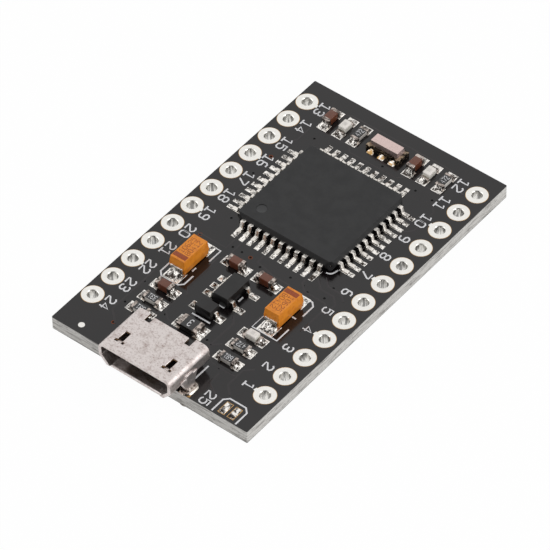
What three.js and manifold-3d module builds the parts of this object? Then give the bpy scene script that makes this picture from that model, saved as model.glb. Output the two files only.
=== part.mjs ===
// Microcontroller development board with two rows of plated pin holes and a Micro-B USB receptacle.
// Millimetres, +Z up. The origin is the middle of the bounding box at the board's underside.
// The receptacle faces -Y and the pin rows run along Y.
//
// Layout frame, used for everything on the board: x = 0 midway between the pin rows,
// y = 0 at the board's front edge (the receptacle's edge), z = 0 on the board's top surface.

import * as THREE from "three";
import { mergeVertices } from "three/addons/utils/BufferGeometryUtils.js";
import Module from "manifold-3d";

const wasm = await Module();
wasm.setup();

// ---------------------------------------------------------------- driving dimensions

// Pin field and board
const PIN_PITCH = 2.54;
const PINS_PER_ROW = 12;
const ROW_SPACING = 17.78;
const HOLE_DIAMETER = 0.9;
const PAD_DIAMETER = 1.88;
const LEFT_MARGIN = 1.02; // left pin row to the board's left edge
const RIGHT_MARGIN = 1.31;
const FRONT_MARGIN = 3.93; // first pin to the front edge
const REAR_MARGIN = 2.38;
const LAMINATE = 1.2;
const COAT = 0.05; // solder mask, and the copper pads flush with it
const PLATING = 0.05; // barrel wall of a plated hole
const PLATING_GAP = 0.005;
const PAD_GAP = 0.03; // pad rim to the edge of its mask opening
const BOARD_CORNER = 0.1;

// USB receptacle
const USB_WIDTH = 7.35;
const USB_HEIGHT = 2.5;
const USB_FLOOR = 5.35; // width of the flat floor between the lower chamfers
const USB_KNEE = 1.15; // height at which the lower chamfers start
const USB_FOLD = 0.55; // outside radius of the upper folds
const USB_WALL = 0.3;
const USB_OVERHANG = 1.5; // mouth in front of the board's front edge
const USB_ON_BOARD = 3.5; // front edge to the rear of the shell
const USB_FLOOR_SET_BACK = 0.25; // the floor's front edge lies behind the upper lip
const LEG_LENGTH = 0.9; // along Y
const LEG_FROM_FRONT = 0.8; // centre of the leg behind the board's front edge
const LEG_SPLAY = 0.15; // leg stands this far outside the side wall
const LEG_ABOVE_UNDERSIDE = 0.2;
const SLOT_MARGIN = 0.13; // round the leg in its slot
const WINDOW_X = 2.4;
const WINDOW_WIDTH = 0.5;
const WINDOW_FRONT = 1.0; // window to the mouth
const WINDOW_LENGTH = 1.33;
const WINDOW_FOOT_WIDTH = 0.95;
const WINDOW_FOOT_LENGTH = 0.25;
const NOTCH_X = 2.05;
const NOTCH_WIDTH = 0.55;
const NOTCH_DEPTH = 0.9;
const REAR_SET_BACK = 0.2; // middle of the top sheet, between the notches
const BLOCK_LENGTH = 1.7; // insulator block behind the mouth
const BLOCK_GAP = 0.02;
const BLOCK_SET_IN = 0.3; // block to the rear of the shell
const TONGUE_WIDTH = 3.7;
const TONGUE_THICKNESS = 0.6;
const TONGUE_TOP = 1.75;
const TONGUE_SET_IN = 0.75; // tongue's tip behind the mouth
const CONTACT_COUNT = 5;
const CONTACT_PITCH = 0.65;
const CONTACT_WIDTH = 0.37;
const CONTACT_THICKNESS = 0.12;
const CONTACT_TAIL = 0.55; // solder tail behind the shell

// Microcontroller, a square flat package
const MCU_Y = 22.4;
const MCU_SIZE = 10.0;
const MCU_HEIGHT = 1.15;
const MCU_STANDOFF = 0.1;
const MCU_DRAFT = 0.2; // each side pulls in this far at the top and bottom
const MCU_CORNER = 0.55; // corner chamfer
const MCU_PITCH = 0.8;
const MCU_PINS_PER_SIDE = 11;
const MCU_LEAD_WIDTH = 0.37;
const MCU_LEAD_REACH = 1.0; // body side to the tip of the foot
const MCU_LEAD_SHOULDER = 0.25;
const MCU_STRIP_WIDTH = 0.3; // strip that ties a row of leads inside the moulding
const MCU_STRIP_COVER = 0.2; // moulding between the strip and the side
const LEAD_THICKNESS = 0.15;
const LEAD_DROP = 0.15; // how far a lead travels outwards as it comes down
const DIMPLE_DIAMETER = 0.95;
const DIMPLE_DEPTH = 0.08;
const DIMPLE_FROM_SIDE = 1.57;
const PADDLE_SIZE = 5.5;
const TIE_BAR_WIDTH = 0.2;
const DIE_SIZE = 4.2;
const DIE_THICKNESS = 0.25;

// Regulator, a five-lead small-outline package
const REGULATOR = { x: 0, y: 10.7, width: 1.6, length: 2.9, height: 1.1, standoff: 0.08, draft: 0.08 };
const REGULATOR_LEAD = { pitch: 0.95, width: 0.4, reach: 0.75, shoulder: 0.2 };

// Diode, fuse and the moulded capacitors
const DIODE = { x: -0.33, y: 8.05, length: 1.7, width: 1.25, height: 0.95, standoff: 0.05, draft: 0.06 };
const DIODE_LEAD = { width: 0.35, reach: 0.45, shoulder: 0.08 };
const FUSE = { x: -0.33, y: 5.95, length: 2.0, width: 1.25, height: 0.55, cap: 0.4, rim: 0.02 };
const TANTALUM = { length: 3.2, width: 1.6, height: 1.6, draft: 0.09, shoulder: 0.75 };
const TERMINAL = { width: 1.2, thickness: 0.1, foot: 0.75 };
const PELLET = { length: 1.7, width: 0.9, height: 0.7 };
const PELLET_WIRE = 0.25;

// Chip parts, all in one case size
const CHIP_LENGTH = 1.6;
const CHIP_WIDTH = 0.8;
const CHIP_CAP = 0.32; // end termination along the chip
const CHIP_RIM = 0.02; // termination stands this far proud
const CAPACITOR_HEIGHT = 0.8;
const RESISTOR_HEIGHT = 0.45;
const LED_BASE = 0.22;
const LED_LENS_LENGTH = 1.0;
const LED_LENS_HEIGHT = 0.38;
const LED_LENS_DRAFT = 0.06;

// Resonator
const RESONATOR = { x: 0.08, fromRear: 3.0, length: 3.4, width: 1.5, height: 0.5 };
const RESONATOR_LID = { length: 2.85, width: 1.05, height: 0.53, draft: 0.05 };
const CASTELLATION_RADIUS = 0.2;
const CASTELLATION_X = 1.1;

const HOLE_SIDES = 12; // multiple of 4, so holes and their plating share corners
const DIMPLE_SIDES = 16;
const CURVE_STEPS = 3; // half the facets of each arc in an outline

// ---------------------------------------------------------------- derived values

const BOARD_WIDTH = LEFT_MARGIN + ROW_SPACING + RIGHT_MARGIN;
const BOARD_LENGTH = FRONT_MARGIN + (PINS_PER_ROW - 1) * PIN_PITCH + REAR_MARGIN;
const BOARD_THICKNESS = LAMINATE + 2 * COAT;
const BOARD_LEFT = -ROW_SPACING / 2 - LEFT_MARGIN;
const BOARD_RIGHT = BOARD_LEFT + BOARD_WIDTH;
const USB_MOUTH_Y = -USB_OVERHANG;
const USB_LENGTH = USB_OVERHANG + USB_ON_BOARD;
const LEG_X = USB_WIDTH / 2 - USB_WALL / 2 + LEG_SPLAY;
const MCU_MID_Z = (MCU_HEIGHT + MCU_STANDOFF) / 2;

function finish(color, roughness, metalness) {
  return new THREE.MeshStandardMaterial({ color, roughness, metalness });
}

const FINISH = {
  laminate: finish(0xb3b09f, 0.8, 0),
  mask: finish(0x26272b, 0.4, 0),
  plating: finish(0xd9d6cf, 0.3, 1),
  shell: finish(0xc4bfbb, 0.45, 1),
  moulding: finish(0x2a2a2c, 0.6, 0),
  leads: finish(0xcfd0d2, 0.35, 1),
  silicon: finish(0x55585f, 0.3, 0.4),
  tantalum: finish(0xd9912e, 0.5, 0),
  ceramicCapacitor: finish(0x7a5138, 0.5, 0),
  resistor: finish(0x1b1b1d, 0.4, 0),
  lens: finish(0xe9ead8, 0.25, 0),
  resonator: finish(0xa79a98, 0.35, 0.8),
};

// ---------------------------------------------------------------- solids and meshes

// A closed three.js geometry as a solid for boolean work.
function solid(geometry) {
  const bare = geometry.clone();
  bare.deleteAttribute("normal");
  bare.deleteAttribute("uv");
  const merged = mergeVertices(bare, 1e-5);
  return new wasm.Manifold(
    new wasm.Mesh({
      numProp: 3,
      vertProperties: merged.attributes.position.array,
      triVerts: new Uint32Array(merged.index.array),
    }),
  );
}

// A solid back as a geometry to draw.
function geometryOf(body) {
  const mesh = body.getMesh();
  const geometry = new THREE.BufferGeometry();
  geometry.setAttribute("position", new THREE.BufferAttribute(new Float32Array(mesh.vertProperties), 3));
  geometry.setIndex(new THREE.BufferAttribute(new Uint32Array(mesh.triVerts), 1));
  geometry.computeVertexNormals();
  return geometry;
}

function joined(bodies) {
  return bodies.reduce((whole, body) => whole.add(body));
}

function piece(name, body, material) {
  const mesh = new THREE.Mesh(body.isBufferGeometry ? body : geometryOf(body), material);
  mesh.name = name;
  return mesh;
}

// A box centred on x and y, standing on z = low.
function box(length, width, height, x = 0, y = 0, low = 0) {
  const geometry = new THREE.BoxGeometry(length, width, height);
  geometry.translate(x, y, low + height / 2);
  return solid(geometry);
}

// A moulded block: widest at its parting line, pulled in by the draft at the top and bottom.
function moulding(length, width, low, parting, high, draft) {
  const corner = Math.SQRT1_2; // from the middle of a unit square to its corner
  const profile = [
    new THREE.Vector2(0, low),
    new THREE.Vector2(corner, low),
    new THREE.Vector2(corner, parting),
    new THREE.Vector2(corner, high),
    new THREE.Vector2(0, high),
  ];
  const geometry = new THREE.LatheGeometry(profile, 4);
  geometry.rotateY(Math.PI / 4);
  geometry.rotateX(Math.PI / 2);
  const position = geometry.getAttribute("position");
  for (let i = 0; i < position.count; i += 1) {
    const pull = Math.abs(position.getZ(i) - parting) < 1e-6 ? 0 : draft;
    position.setX(i, position.getX(i) * (length - 2 * pull));
    position.setY(i, position.getY(i) * (width - 2 * pull));
  }
  return solid(geometry);
}

// An outline in x and z, pulled along y from front to front + length.
function pulledAlongY(outline, front, length) {
  const geometry = new THREE.ExtrudeGeometry(outline, {
    depth: length,
    bevelEnabled: false,
    curveSegments: CURVE_STEPS,
  });
  geometry.rotateX(Math.PI / 2);
  geometry.translate(0, front + length, 0);
  return solid(geometry);
}

// A flat strip bent along a centre line of [x, z] points, with mitred bends, centred on y = 0.
function bentStrip(line, thickness, width) {
  const points = line.map(([x, z]) => new THREE.Vector2(x, z));
  const normals = points.slice(1).map((point, i) => {
    const along = point.clone().sub(points[i]).normalize();
    return new THREE.Vector2(-along.y, along.x);
  });
  const offsets = points.map((_, i) => {
    const before = normals[Math.max(i - 1, 0)];
    const after = normals[Math.min(i, normals.length - 1)];
    const mitre = before.clone().add(after).normalize();
    return mitre.multiplyScalar(thickness / 2 / mitre.dot(before));
  });
  const upper = points.map((point, i) => point.clone().add(offsets[i]));
  const lower = points.map((point, i) => point.clone().sub(offsets[i]));
  return pulledAlongY(new THREE.Shape([...lower, ...upper.reverse()]), -width / 2, width);
}

// A gull-wing lead from inside a moulding at x = inner, out of its side, and down to a foot on z = 0.
function gullWing(inner, side, shoulder, reach, exitHeight, width) {
  const foot = LEAD_THICKNESS / 2;
  return bentStrip(
    [
      [inner, exitHeight],
      [side + shoulder, exitHeight],
      [side + shoulder + LEAD_DROP, foot],
      [side + reach, foot],
    ],
    LEAD_THICKNESS,
    width,
  );
}

// ---------------------------------------------------------------- board and plated holes

function polygonPath(x, y, radius) {
  const corners = [];
  for (let i = 0; i < HOLE_SIDES; i += 1) {
    const angle = (2 * Math.PI * i) / HOLE_SIDES;
    corners.push(new THREE.Vector2(x + radius * Math.cos(angle), y + radius * Math.sin(angle)));
  }
  return new THREE.Path(corners);
}

// A slot along y with round ends.
function slotPath(x, y, width, length) {
  const radius = width / 2;
  const straight = length / 2 - radius;
  const path = new THREE.Path();
  path.absarc(x, y + straight, radius, 0, Math.PI);
  path.absarc(x, y - straight, radius, Math.PI, 2 * Math.PI);
  return path;
}

function boardOutline() {
  const outline = new THREE.Shape();
  const corners = [
    [BOARD_RIGHT - BOARD_CORNER, BOARD_CORNER],
    [BOARD_RIGHT - BOARD_CORNER, BOARD_LENGTH - BOARD_CORNER],
    [BOARD_LEFT + BOARD_CORNER, BOARD_LENGTH - BOARD_CORNER],
    [BOARD_LEFT + BOARD_CORNER, BOARD_CORNER],
  ];
  corners.forEach(([x, y], i) => {
    const start = ((i - 1) * Math.PI) / 2;
    outline.absarc(x, y, BOARD_CORNER, start, start + Math.PI / 2);
  });
  return outline;
}

// Counted as on a dual in-line package: up the right row from the front, and back down the left row.
function pinPlaces() {
  const places = [];
  for (let i = 0; i < PINS_PER_ROW; i += 1) {
    places.push([ROW_SPACING / 2, FRONT_MARGIN + i * PIN_PITCH]);
  }
  for (let i = PINS_PER_ROW - 1; i >= 0; i -= 1) {
    places.push([-ROW_SPACING / 2, FRONT_MARGIN + i * PIN_PITCH]);
  }
  return places;
}

// One layer of the board, with its pin holes and the two slots for the receptacle's legs.
function boardLayer(low, thickness, holeRadius) {
  const outline = boardOutline();
  outline.holes = pinPlaces().map(([x, y]) => polygonPath(x, y, holeRadius));
  for (const side of [-1, 1]) {
    const width = USB_WALL + 2 * SLOT_MARGIN;
    const length = LEG_LENGTH + 2 * SLOT_MARGIN;
    outline.holes.push(slotPath(side * LEG_X, LEG_FROM_FRONT, width, length));
  }
  const geometry = new THREE.ExtrudeGeometry(outline, {
    depth: thickness,
    bevelEnabled: false,
    curveSegments: CURVE_STEPS,
  });
  geometry.translate(0, 0, low);
  return geometry;
}

// The plated barrel of a pin hole with its pad on both faces.
function eyelet() {
  const bore = HOLE_DIAMETER / 2;
  const barrel = bore + PLATING;
  const pad = PAD_DIAMETER / 2;
  const bottom = -BOARD_THICKNESS;
  const profile = [
    [bore, bottom],
    [pad, bottom],
    [pad, bottom + COAT],
    [barrel, bottom + COAT],
    [barrel, -COAT],
    [pad, -COAT],
    [pad, 0],
    [bore, 0],
    [bore, bottom],
  ].map(([radius, z]) => new THREE.Vector2(radius, z));
  const geometry = new THREE.LatheGeometry(profile, HOLE_SIDES);
  geometry.rotateX(Math.PI / 2);
  return geometry;
}

function boardGroup() {
  const group = new THREE.Group();
  const barrelRadius = HOLE_DIAMETER / 2 + PLATING + PLATING_GAP;
  const openingRadius = PAD_DIAMETER / 2 + PAD_GAP;
  const core = boardLayer(-COAT - LAMINATE, LAMINATE, barrelRadius);
  group.add(piece("board_core", core, FINISH.laminate));
  group.add(piece("solder_mask_top", boardLayer(-COAT, COAT, openingRadius), FINISH.mask));
  group.add(piece("solder_mask_bottom", boardLayer(-BOARD_THICKNESS, COAT, openingRadius), FINISH.mask));
  pinPlaces().forEach(([x, y], i) => {
    const plated = piece(`pin_hole_plating_${String(i + 1).padStart(2, "0")}`, eyelet(), FINISH.plating);
    plated.position.set(x, y, 0);
    group.add(plated);
  });
  return group;
}

// ---------------------------------------------------------------- USB receptacle

// Cross-section of the receptacle, inset from its outside: wide at the top, chamfered below.
function usbSection(inset) {
  const side = USB_WIDTH / 2 - inset;
  const slope = Math.atan2(USB_KNEE, (USB_WIDTH - USB_FLOOR) / 2);
  const knee = USB_KNEE + inset * (Math.cos(slope) - (1 - Math.sin(slope)) * Math.tan(slope));
  const run = (USB_KNEE - inset + inset * Math.cos(slope)) / Math.sin(slope);
  const floor = USB_WIDTH / 2 - inset * Math.sin(slope) - run * Math.cos(slope);
  const fold = USB_FOLD - inset;
  const top = USB_HEIGHT - inset;
  const section = new THREE.Shape();
  section.moveTo(-floor, inset);
  section.lineTo(floor, inset);
  section.lineTo(side, knee);
  section.absarc(side - fold, top - fold, fold, 0, Math.PI / 2);
  section.absarc(fold - side, top - fold, fold, Math.PI / 2, Math.PI);
  section.lineTo(-side, knee);
  return section;
}

function usbShell() {
  const outer = pulledAlongY(usbSection(0), USB_MOUTH_Y, USB_LENGTH);
  const bore = pulledAlongY(usbSection(USB_WALL), USB_MOUTH_Y - 1, USB_LENGTH + 2);
  const legs = [];
  const cuts = [bore];
  const legBottom = LEG_ABOVE_UNDERSIDE - BOARD_THICKNESS;
  const sheet = { low: USB_HEIGHT - 1.5 * USB_WALL, height: 2 * USB_WALL };
  for (const side of [-1, 1]) {
    const legHeight = USB_KNEE + 2 * USB_WALL - legBottom;
    legs.push(box(USB_WALL, LEG_LENGTH, legHeight, side * LEG_X, LEG_FROM_FRONT, legBottom));
    const windowY = USB_MOUTH_Y + WINDOW_FRONT + WINDOW_LENGTH / 2;
    const footY = USB_MOUTH_Y + WINDOW_FRONT + WINDOW_FOOT_LENGTH / 2;
    cuts.push(box(WINDOW_WIDTH, WINDOW_LENGTH, sheet.height, side * WINDOW_X, windowY, sheet.low));
    cuts.push(box(WINDOW_FOOT_WIDTH, WINDOW_FOOT_LENGTH, sheet.height, side * WINDOW_X, footY, sheet.low));
    cuts.push(box(NOTCH_WIDTH, 2 * NOTCH_DEPTH, sheet.height, side * NOTCH_X, USB_ON_BOARD, sheet.low));
  }
  cuts.push(box(2 * NOTCH_X, 2 * REAR_SET_BACK, sheet.height, 0, USB_ON_BOARD, sheet.low));
  cuts.push(box(2 * USB_WIDTH, 2 * USB_FLOOR_SET_BACK, 2 * USB_WALL, 0, USB_MOUTH_Y, -USB_WALL));
  return joined([outer.subtract(joined(cuts)), ...legs]);
}

// Five contacts along the tongue's underside, tied by a strip inside the insulator block.
function usbContacts() {
  const lineZ = TONGUE_TOP - TONGUE_THICKNESS - CONTACT_THICKNESS / 2;
  const bendY = USB_ON_BOARD + CONTACT_THICKNESS;
  const line = [
    [USB_MOUTH_Y + TONGUE_SET_IN + CONTACT_THICKNESS, lineZ],
    [bendY, lineZ],
    [bendY, CONTACT_THICKNESS / 2],
    [USB_ON_BOARD + CONTACT_TAIL, CONTACT_THICKNESS / 2],
  ];
  const strips = [];
  for (let i = 0; i < CONTACT_COUNT; i += 1) {
    const offset = (i - (CONTACT_COUNT - 1) / 2) * CONTACT_PITCH;
    const strip = bentStrip(line, CONTACT_THICKNESS, CONTACT_WIDTH).rotate([0, 0, 90]);
    strips.push(strip.translate([offset, 0, 0]));
  }
  const tieWidth = (CONTACT_COUNT - 1) * CONTACT_PITCH;
  const tieY = USB_ON_BOARD - BLOCK_SET_IN - BLOCK_LENGTH / 2;
  strips.push(box(tieWidth, BLOCK_LENGTH / 3, CONTACT_THICKNESS, 0, tieY, lineZ - CONTACT_THICKNESS / 2));
  return joined(strips);
}

function usbInsulator(contacts) {
  const blockFront = USB_ON_BOARD - BLOCK_SET_IN - BLOCK_LENGTH;
  const block = pulledAlongY(usbSection(USB_WALL + BLOCK_GAP), blockFront, BLOCK_LENGTH);
  const tip = USB_MOUTH_Y + TONGUE_SET_IN;
  const tongueLength = blockFront + BLOCK_LENGTH / 2 - tip;
  const tongueLow = TONGUE_TOP - TONGUE_THICKNESS;
  const tongue = box(TONGUE_WIDTH, tongueLength, TONGUE_THICKNESS, 0, tip + tongueLength / 2, tongueLow);
  return block.add(tongue).subtract(contacts);
}

function usbGroup() {
  const group = new THREE.Group();
  const contacts = usbContacts();
  group.add(piece("usb_shell", usbShell(), FINISH.shell));
  group.add(piece("usb_insulator", usbInsulator(contacts), FINISH.moulding));
  group.add(piece("usb_contacts", contacts, FINISH.leads));
  return group;
}

// ---------------------------------------------------------------- microcontroller

// One side's leads, pointing along +X, tied by a strip inside the moulding.
function mcuLeadRow() {
  const side = MCU_SIZE / 2;
  const inner = side - MCU_STRIP_COVER - MCU_STRIP_WIDTH;
  const span = (MCU_PINS_PER_SIDE - 1) * MCU_PITCH;
  const lead = gullWing(inner, side, MCU_LEAD_SHOULDER, MCU_LEAD_REACH, MCU_MID_Z, MCU_LEAD_WIDTH);
  const leads = [];
  for (let i = 0; i < MCU_PINS_PER_SIDE; i += 1) {
    leads.push(lead.translate([0, i * MCU_PITCH - span / 2, 0]));
  }
  const stripX = inner + MCU_STRIP_WIDTH / 2;
  leads.push(box(MCU_STRIP_WIDTH, span, LEAD_THICKNESS, stripX, 0, MCU_MID_Z - LEAD_THICKNESS / 2));
  return joined(leads);
}

// The plate under the die, with tie bars that run out to the package's corners.
function mcuPaddle() {
  const low = MCU_MID_Z - LEAD_THICKNESS / 2;
  const tieLength = Math.SQRT2 * MCU_SIZE;
  const tie = box(tieLength, TIE_BAR_WIDTH, LEAD_THICKNESS, 0, 0, low);
  const cross = tie.rotate([0, 0, 45]).add(tie.rotate([0, 0, -45]));
  const plate = box(PADDLE_SIZE, PADDLE_SIZE, LEAD_THICKNESS, 0, 0, low);
  return plate.add(cross).intersect(mcuBlank());
}

// The package's outside before the lead frame is let in.
function mcuBlank() {
  const block = moulding(MCU_SIZE, MCU_SIZE, MCU_STANDOFF, MCU_MID_Z, MCU_HEIGHT, MCU_DRAFT);
  const diagonal = Math.SQRT2 * (MCU_SIZE - MCU_CORNER);
  const chamfers = box(diagonal, diagonal, 2 * MCU_HEIGHT, 0, 0, -MCU_HEIGHT / 2).rotate([0, 0, 45]);
  return block.intersect(chamfers);
}

function mcuBody(inside) {
  const radius = DIMPLE_DIAMETER / 2;
  const dimple = new THREE.CylinderGeometry(radius, radius, 2 * DIMPLE_DEPTH, DIMPLE_SIDES);
  const place = DIMPLE_FROM_SIDE - MCU_SIZE / 2;
  dimple.rotateX(Math.PI / 2);
  dimple.translate(place, place, MCU_HEIGHT);
  return mcuBlank().subtract(joined([...inside, solid(dimple)]));
}

function mcuGroup() {
  const group = new THREE.Group();
  const dieLow = MCU_MID_Z + LEAD_THICKNESS / 2;
  const paddle = mcuPaddle();
  const die = box(DIE_SIZE, DIE_SIZE, DIE_THICKNESS, 0, 0, dieLow);
  const rows = ["right", "rear", "left", "front"].map((side, i) => ({
    name: `mcu_leads_${side}`,
    body: mcuLeadRow().rotate([0, 0, 90 * i]),
  }));
  const inside = [paddle, die, ...rows.map((row) => row.body)];
  group.add(piece("mcu_body", mcuBody(inside), FINISH.moulding));
  rows.forEach((row) => group.add(piece(row.name, row.body, FINISH.leads)));
  group.add(piece("mcu_paddle", paddle, FINISH.leads));
  group.add(piece("mcu_die", die, FINISH.silicon));
  group.position.set(0, MCU_Y, 0);
  return group;
}

// ---------------------------------------------------------------- regulator and diode

// Three leads on the left, two on the right, tied by the plate inside the moulding.
function regulatorLeads() {
  const { width, height, standoff } = REGULATOR;
  const { pitch, reach, shoulder } = REGULATOR_LEAD;
  const exit = (height + standoff) / 2;
  const lead = gullWing(width / 8, width / 2, shoulder, reach, exit, REGULATOR_LEAD.width);
  const left = [-1, 0, 1].map((place) => lead.rotate([0, 0, 180]).translate([0, place * pitch, 0]));
  const right = [-1, 1].map((place) => lead.translate([0, place * pitch, 0]));
  const plateLow = exit - LEAD_THICKNESS / 2;
  const plate = box(width / 2, 2 * pitch + REGULATOR_LEAD.width, LEAD_THICKNESS, 0, 0, plateLow);
  return joined([plate, ...left, ...right]);
}

function regulatorGroup() {
  const group = new THREE.Group();
  const { width, length, height, standoff, draft } = REGULATOR;
  const leads = regulatorLeads();
  const parting = (height + standoff) / 2;
  const body = moulding(width, length, standoff, parting, height, draft).subtract(leads);
  group.add(piece("regulator_body", body, FINISH.moulding));
  group.add(piece("regulator_leads", leads, FINISH.leads));
  group.position.set(REGULATOR.x, REGULATOR.y, 0);
  return group;
}

function diodePiece() {
  const { length, width, height, standoff, draft } = DIODE;
  const parting = (height + standoff) / 2;
  const { shoulder, reach, width: leadWidth } = DIODE_LEAD;
  const lead = gullWing(length / 4, length / 2, shoulder, reach, parting, leadWidth);
  const body = moulding(length, width, standoff, parting, height, draft);
  const diode = piece("diode", joined([body, lead, lead.rotate([0, 0, 180])]), FINISH.moulding);
  diode.position.set(DIODE.x, DIODE.y, 0);
  return diode;
}

// ---------------------------------------------------------------- tantalum capacitors

// Pellet and lead wire inside, with a folded terminal at each end; the polarity end is at +X.
function tantalumTerminals() {
  const { length, shoulder } = TANTALUM;
  const { thickness, width, foot } = TERMINAL;
  const half = length / 2 + thickness / 2;
  const terminal = bentStrip(
    [
      [PELLET.length / 2 + thickness, shoulder],
      [half, shoulder],
      [half, thickness / 2],
      [half - foot, thickness / 2],
    ],
    thickness,
    width,
  );
  const pelletLow = shoulder - PELLET.height / 2;
  const pellet = box(PELLET.length, PELLET.width, PELLET.height, 0, 0, pelletLow);
  const wireLow = shoulder - PELLET_WIRE / 2;
  const wire = box(PELLET.length + 4 * thickness, PELLET_WIRE, PELLET_WIRE, 0, 0, wireLow);
  return joined([pellet, wire, terminal, terminal.rotate([0, 0, 180])]);
}

function tantalumGroup(name, x, y, turn) {
  const group = new THREE.Group();
  const { length, width, height, draft, shoulder } = TANTALUM;
  const terminals = tantalumTerminals();
  const body = moulding(length, width, TERMINAL.thickness, shoulder, height, draft).subtract(terminals);
  group.add(piece(`${name}_body`, body, FINISH.tantalum));
  group.add(piece(`${name}_terminals`, terminals, FINISH.leads));
  group.position.set(x, y, 0);
  group.rotation.z = turn;
  return group;
}

// ---------------------------------------------------------------- chip parts

// A chip with its two wrapped end terminations standing slightly proud of the body.
function chip(length, width, height, cap, rim) {
  const body = box(length - cap, width - 2 * rim, height - 2 * rim, 0, 0, rim);
  const ends = [-1, 1].map((side) => box(cap, width, height, (side * (length - cap)) / 2));
  return joined([body, ...ends]);
}

function ledChip() {
  const base = chip(CHIP_LENGTH, CHIP_WIDTH, LED_BASE, CHIP_CAP, CHIP_RIM);
  const low = LED_BASE / 2;
  const high = LED_BASE + LED_LENS_HEIGHT;
  const lensWidth = CHIP_WIDTH - 4 * CHIP_RIM;
  return base.add(moulding(LED_LENS_LENGTH, lensWidth, low, LED_BASE, high, LED_LENS_DRAFT));
}

function capacitorChip() {
  return chip(CHIP_LENGTH, CHIP_WIDTH, CAPACITOR_HEIGHT, CHIP_CAP, CHIP_RIM);
}

function resistorChip() {
  return chip(CHIP_LENGTH, CHIP_WIDTH, RESISTOR_HEIGHT, CHIP_CAP, CHIP_RIM);
}

// Every chip with its place; those of the last row are set out from the board's rear edge.
const REAR_ROW = BOARD_LENGTH - 2.95;
const ACROSS = 0;
const ALONG = Math.PI / 2;
const CHIPS = [
  { name: "capacitor_regulator_left", make: capacitorChip, x: -1.68, y: 13.45, turn: ACROSS },
  { name: "capacitor_regulator_right", make: capacitorChip, x: 1.45, y: 13.45, turn: ACROSS },
  { name: "capacitor_usb_side", make: capacitorChip, x: -4.62, y: 7.95, turn: ACROSS },
  { name: "capacitor_rear_left", make: capacitorChip, x: -5.93, y: REAR_ROW, turn: ALONG },
  { name: "capacitor_rear_right", make: capacitorChip, x: 2.92, y: REAR_ROW, turn: ALONG },
  { name: "resistor_usb_data_1", make: resistorChip, x: -4.62, y: 6.35, turn: ACROSS },
  { name: "resistor_usb_data_2", make: resistorChip, x: -4.62, y: 4.85, turn: ACROSS },
  { name: "resistor_power_led", make: resistorChip, x: 4.3, y: 6.65, turn: ACROSS },
  { name: "resistor_pull_up", make: resistorChip, x: 4.3, y: 5.0, turn: ACROSS },
  { name: "resistor_led_left", make: resistorChip, x: -2.9, y: REAR_ROW, turn: ALONG },
  { name: "resistor_led_right", make: resistorChip, x: 5.97, y: REAR_ROW, turn: ALONG },
  { name: "led_power", make: ledChip, x: 4.3, y: 8.15, turn: ACROSS },
  { name: "led_signal_left", make: ledChip, x: -4.4, y: REAR_ROW, turn: ALONG },
  { name: "led_signal_right", make: ledChip, x: 4.4, y: REAR_ROW, turn: ALONG },
];

function chipFinish(make) {
  if (make === capacitorChip) return FINISH.ceramicCapacitor;
  return make === ledChip ? FINISH.lens : FINISH.resistor;
}

function chipPiece({ name, make, x, y, turn }) {
  const mesh = piece(name, make(), chipFinish(make));
  mesh.position.set(x, y, 0);
  mesh.rotation.z = turn;
  return mesh;
}

function fusePiece() {
  const { length, width, height, cap, rim } = FUSE;
  const fuse = piece("fuse", chip(length, width, height, cap, rim), FINISH.resistor);
  fuse.position.set(FUSE.x, FUSE.y, 0);
  return fuse;
}

// A ceramic base with three castellated terminals on each long side, under a metal lid.
function resonatorPiece() {
  const { length, width, height } = RESONATOR;
  const base = box(length, width, height);
  const bites = [];
  for (const side of [-1, 1]) {
    for (const place of [-1, 0, 1]) {
      const radius = CASTELLATION_RADIUS;
      const bite = new THREE.CylinderGeometry(radius, radius, 2 * height, HOLE_SIDES);
      bite.rotateX(Math.PI / 2);
      bite.translate(place * CASTELLATION_X, (side * width) / 2, height);
      bites.push(solid(bite));
    }
  }
  const { length: lidLength, width: lidWidth, draft } = RESONATOR_LID;
  const lidTop = height + RESONATOR_LID.height;
  const lid = moulding(lidLength, lidWidth, height / 2, height, lidTop, draft);
  const resonator = piece("resonator", base.subtract(joined(bites)).add(lid), FINISH.resonator);
  resonator.position.set(RESONATOR.x, BOARD_LENGTH - RESONATOR.fromRear, 0);
  return resonator;
}

// ---------------------------------------------------------------- the whole board

const layout = new THREE.Group();
layout.add(boardGroup());
layout.add(usbGroup());
layout.add(mcuGroup());
layout.add(regulatorGroup());
layout.add(diodePiece());
layout.add(fusePiece());
layout.add(tantalumGroup("tantalum_left", -5.0, 11.5, -Math.PI / 2));
layout.add(tantalumGroup("tantalum_right", 4.65, 11.65, Math.PI / 2));
CHIPS.forEach((chipPlace) => layout.add(chipPiece(chipPlace)));
layout.add(resonatorPiece());
layout.position.set(
  -(BOARD_LEFT + BOARD_RIGHT) / 2,
  (USB_OVERHANG - BOARD_LENGTH) / 2,
  BOARD_THICKNESS,
);

const model = new THREE.Group();
model.add(layout);

export default model;
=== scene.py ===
"""Finishes a 24-pin microcontroller board that has a micro USB receptacle.

Shapes are worked in millimetres in the part's own frame, and become metres when a piece is finished.
"""

import math

import bmesh
import bpy
from mathutils import Matrix, Vector, noise


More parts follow.
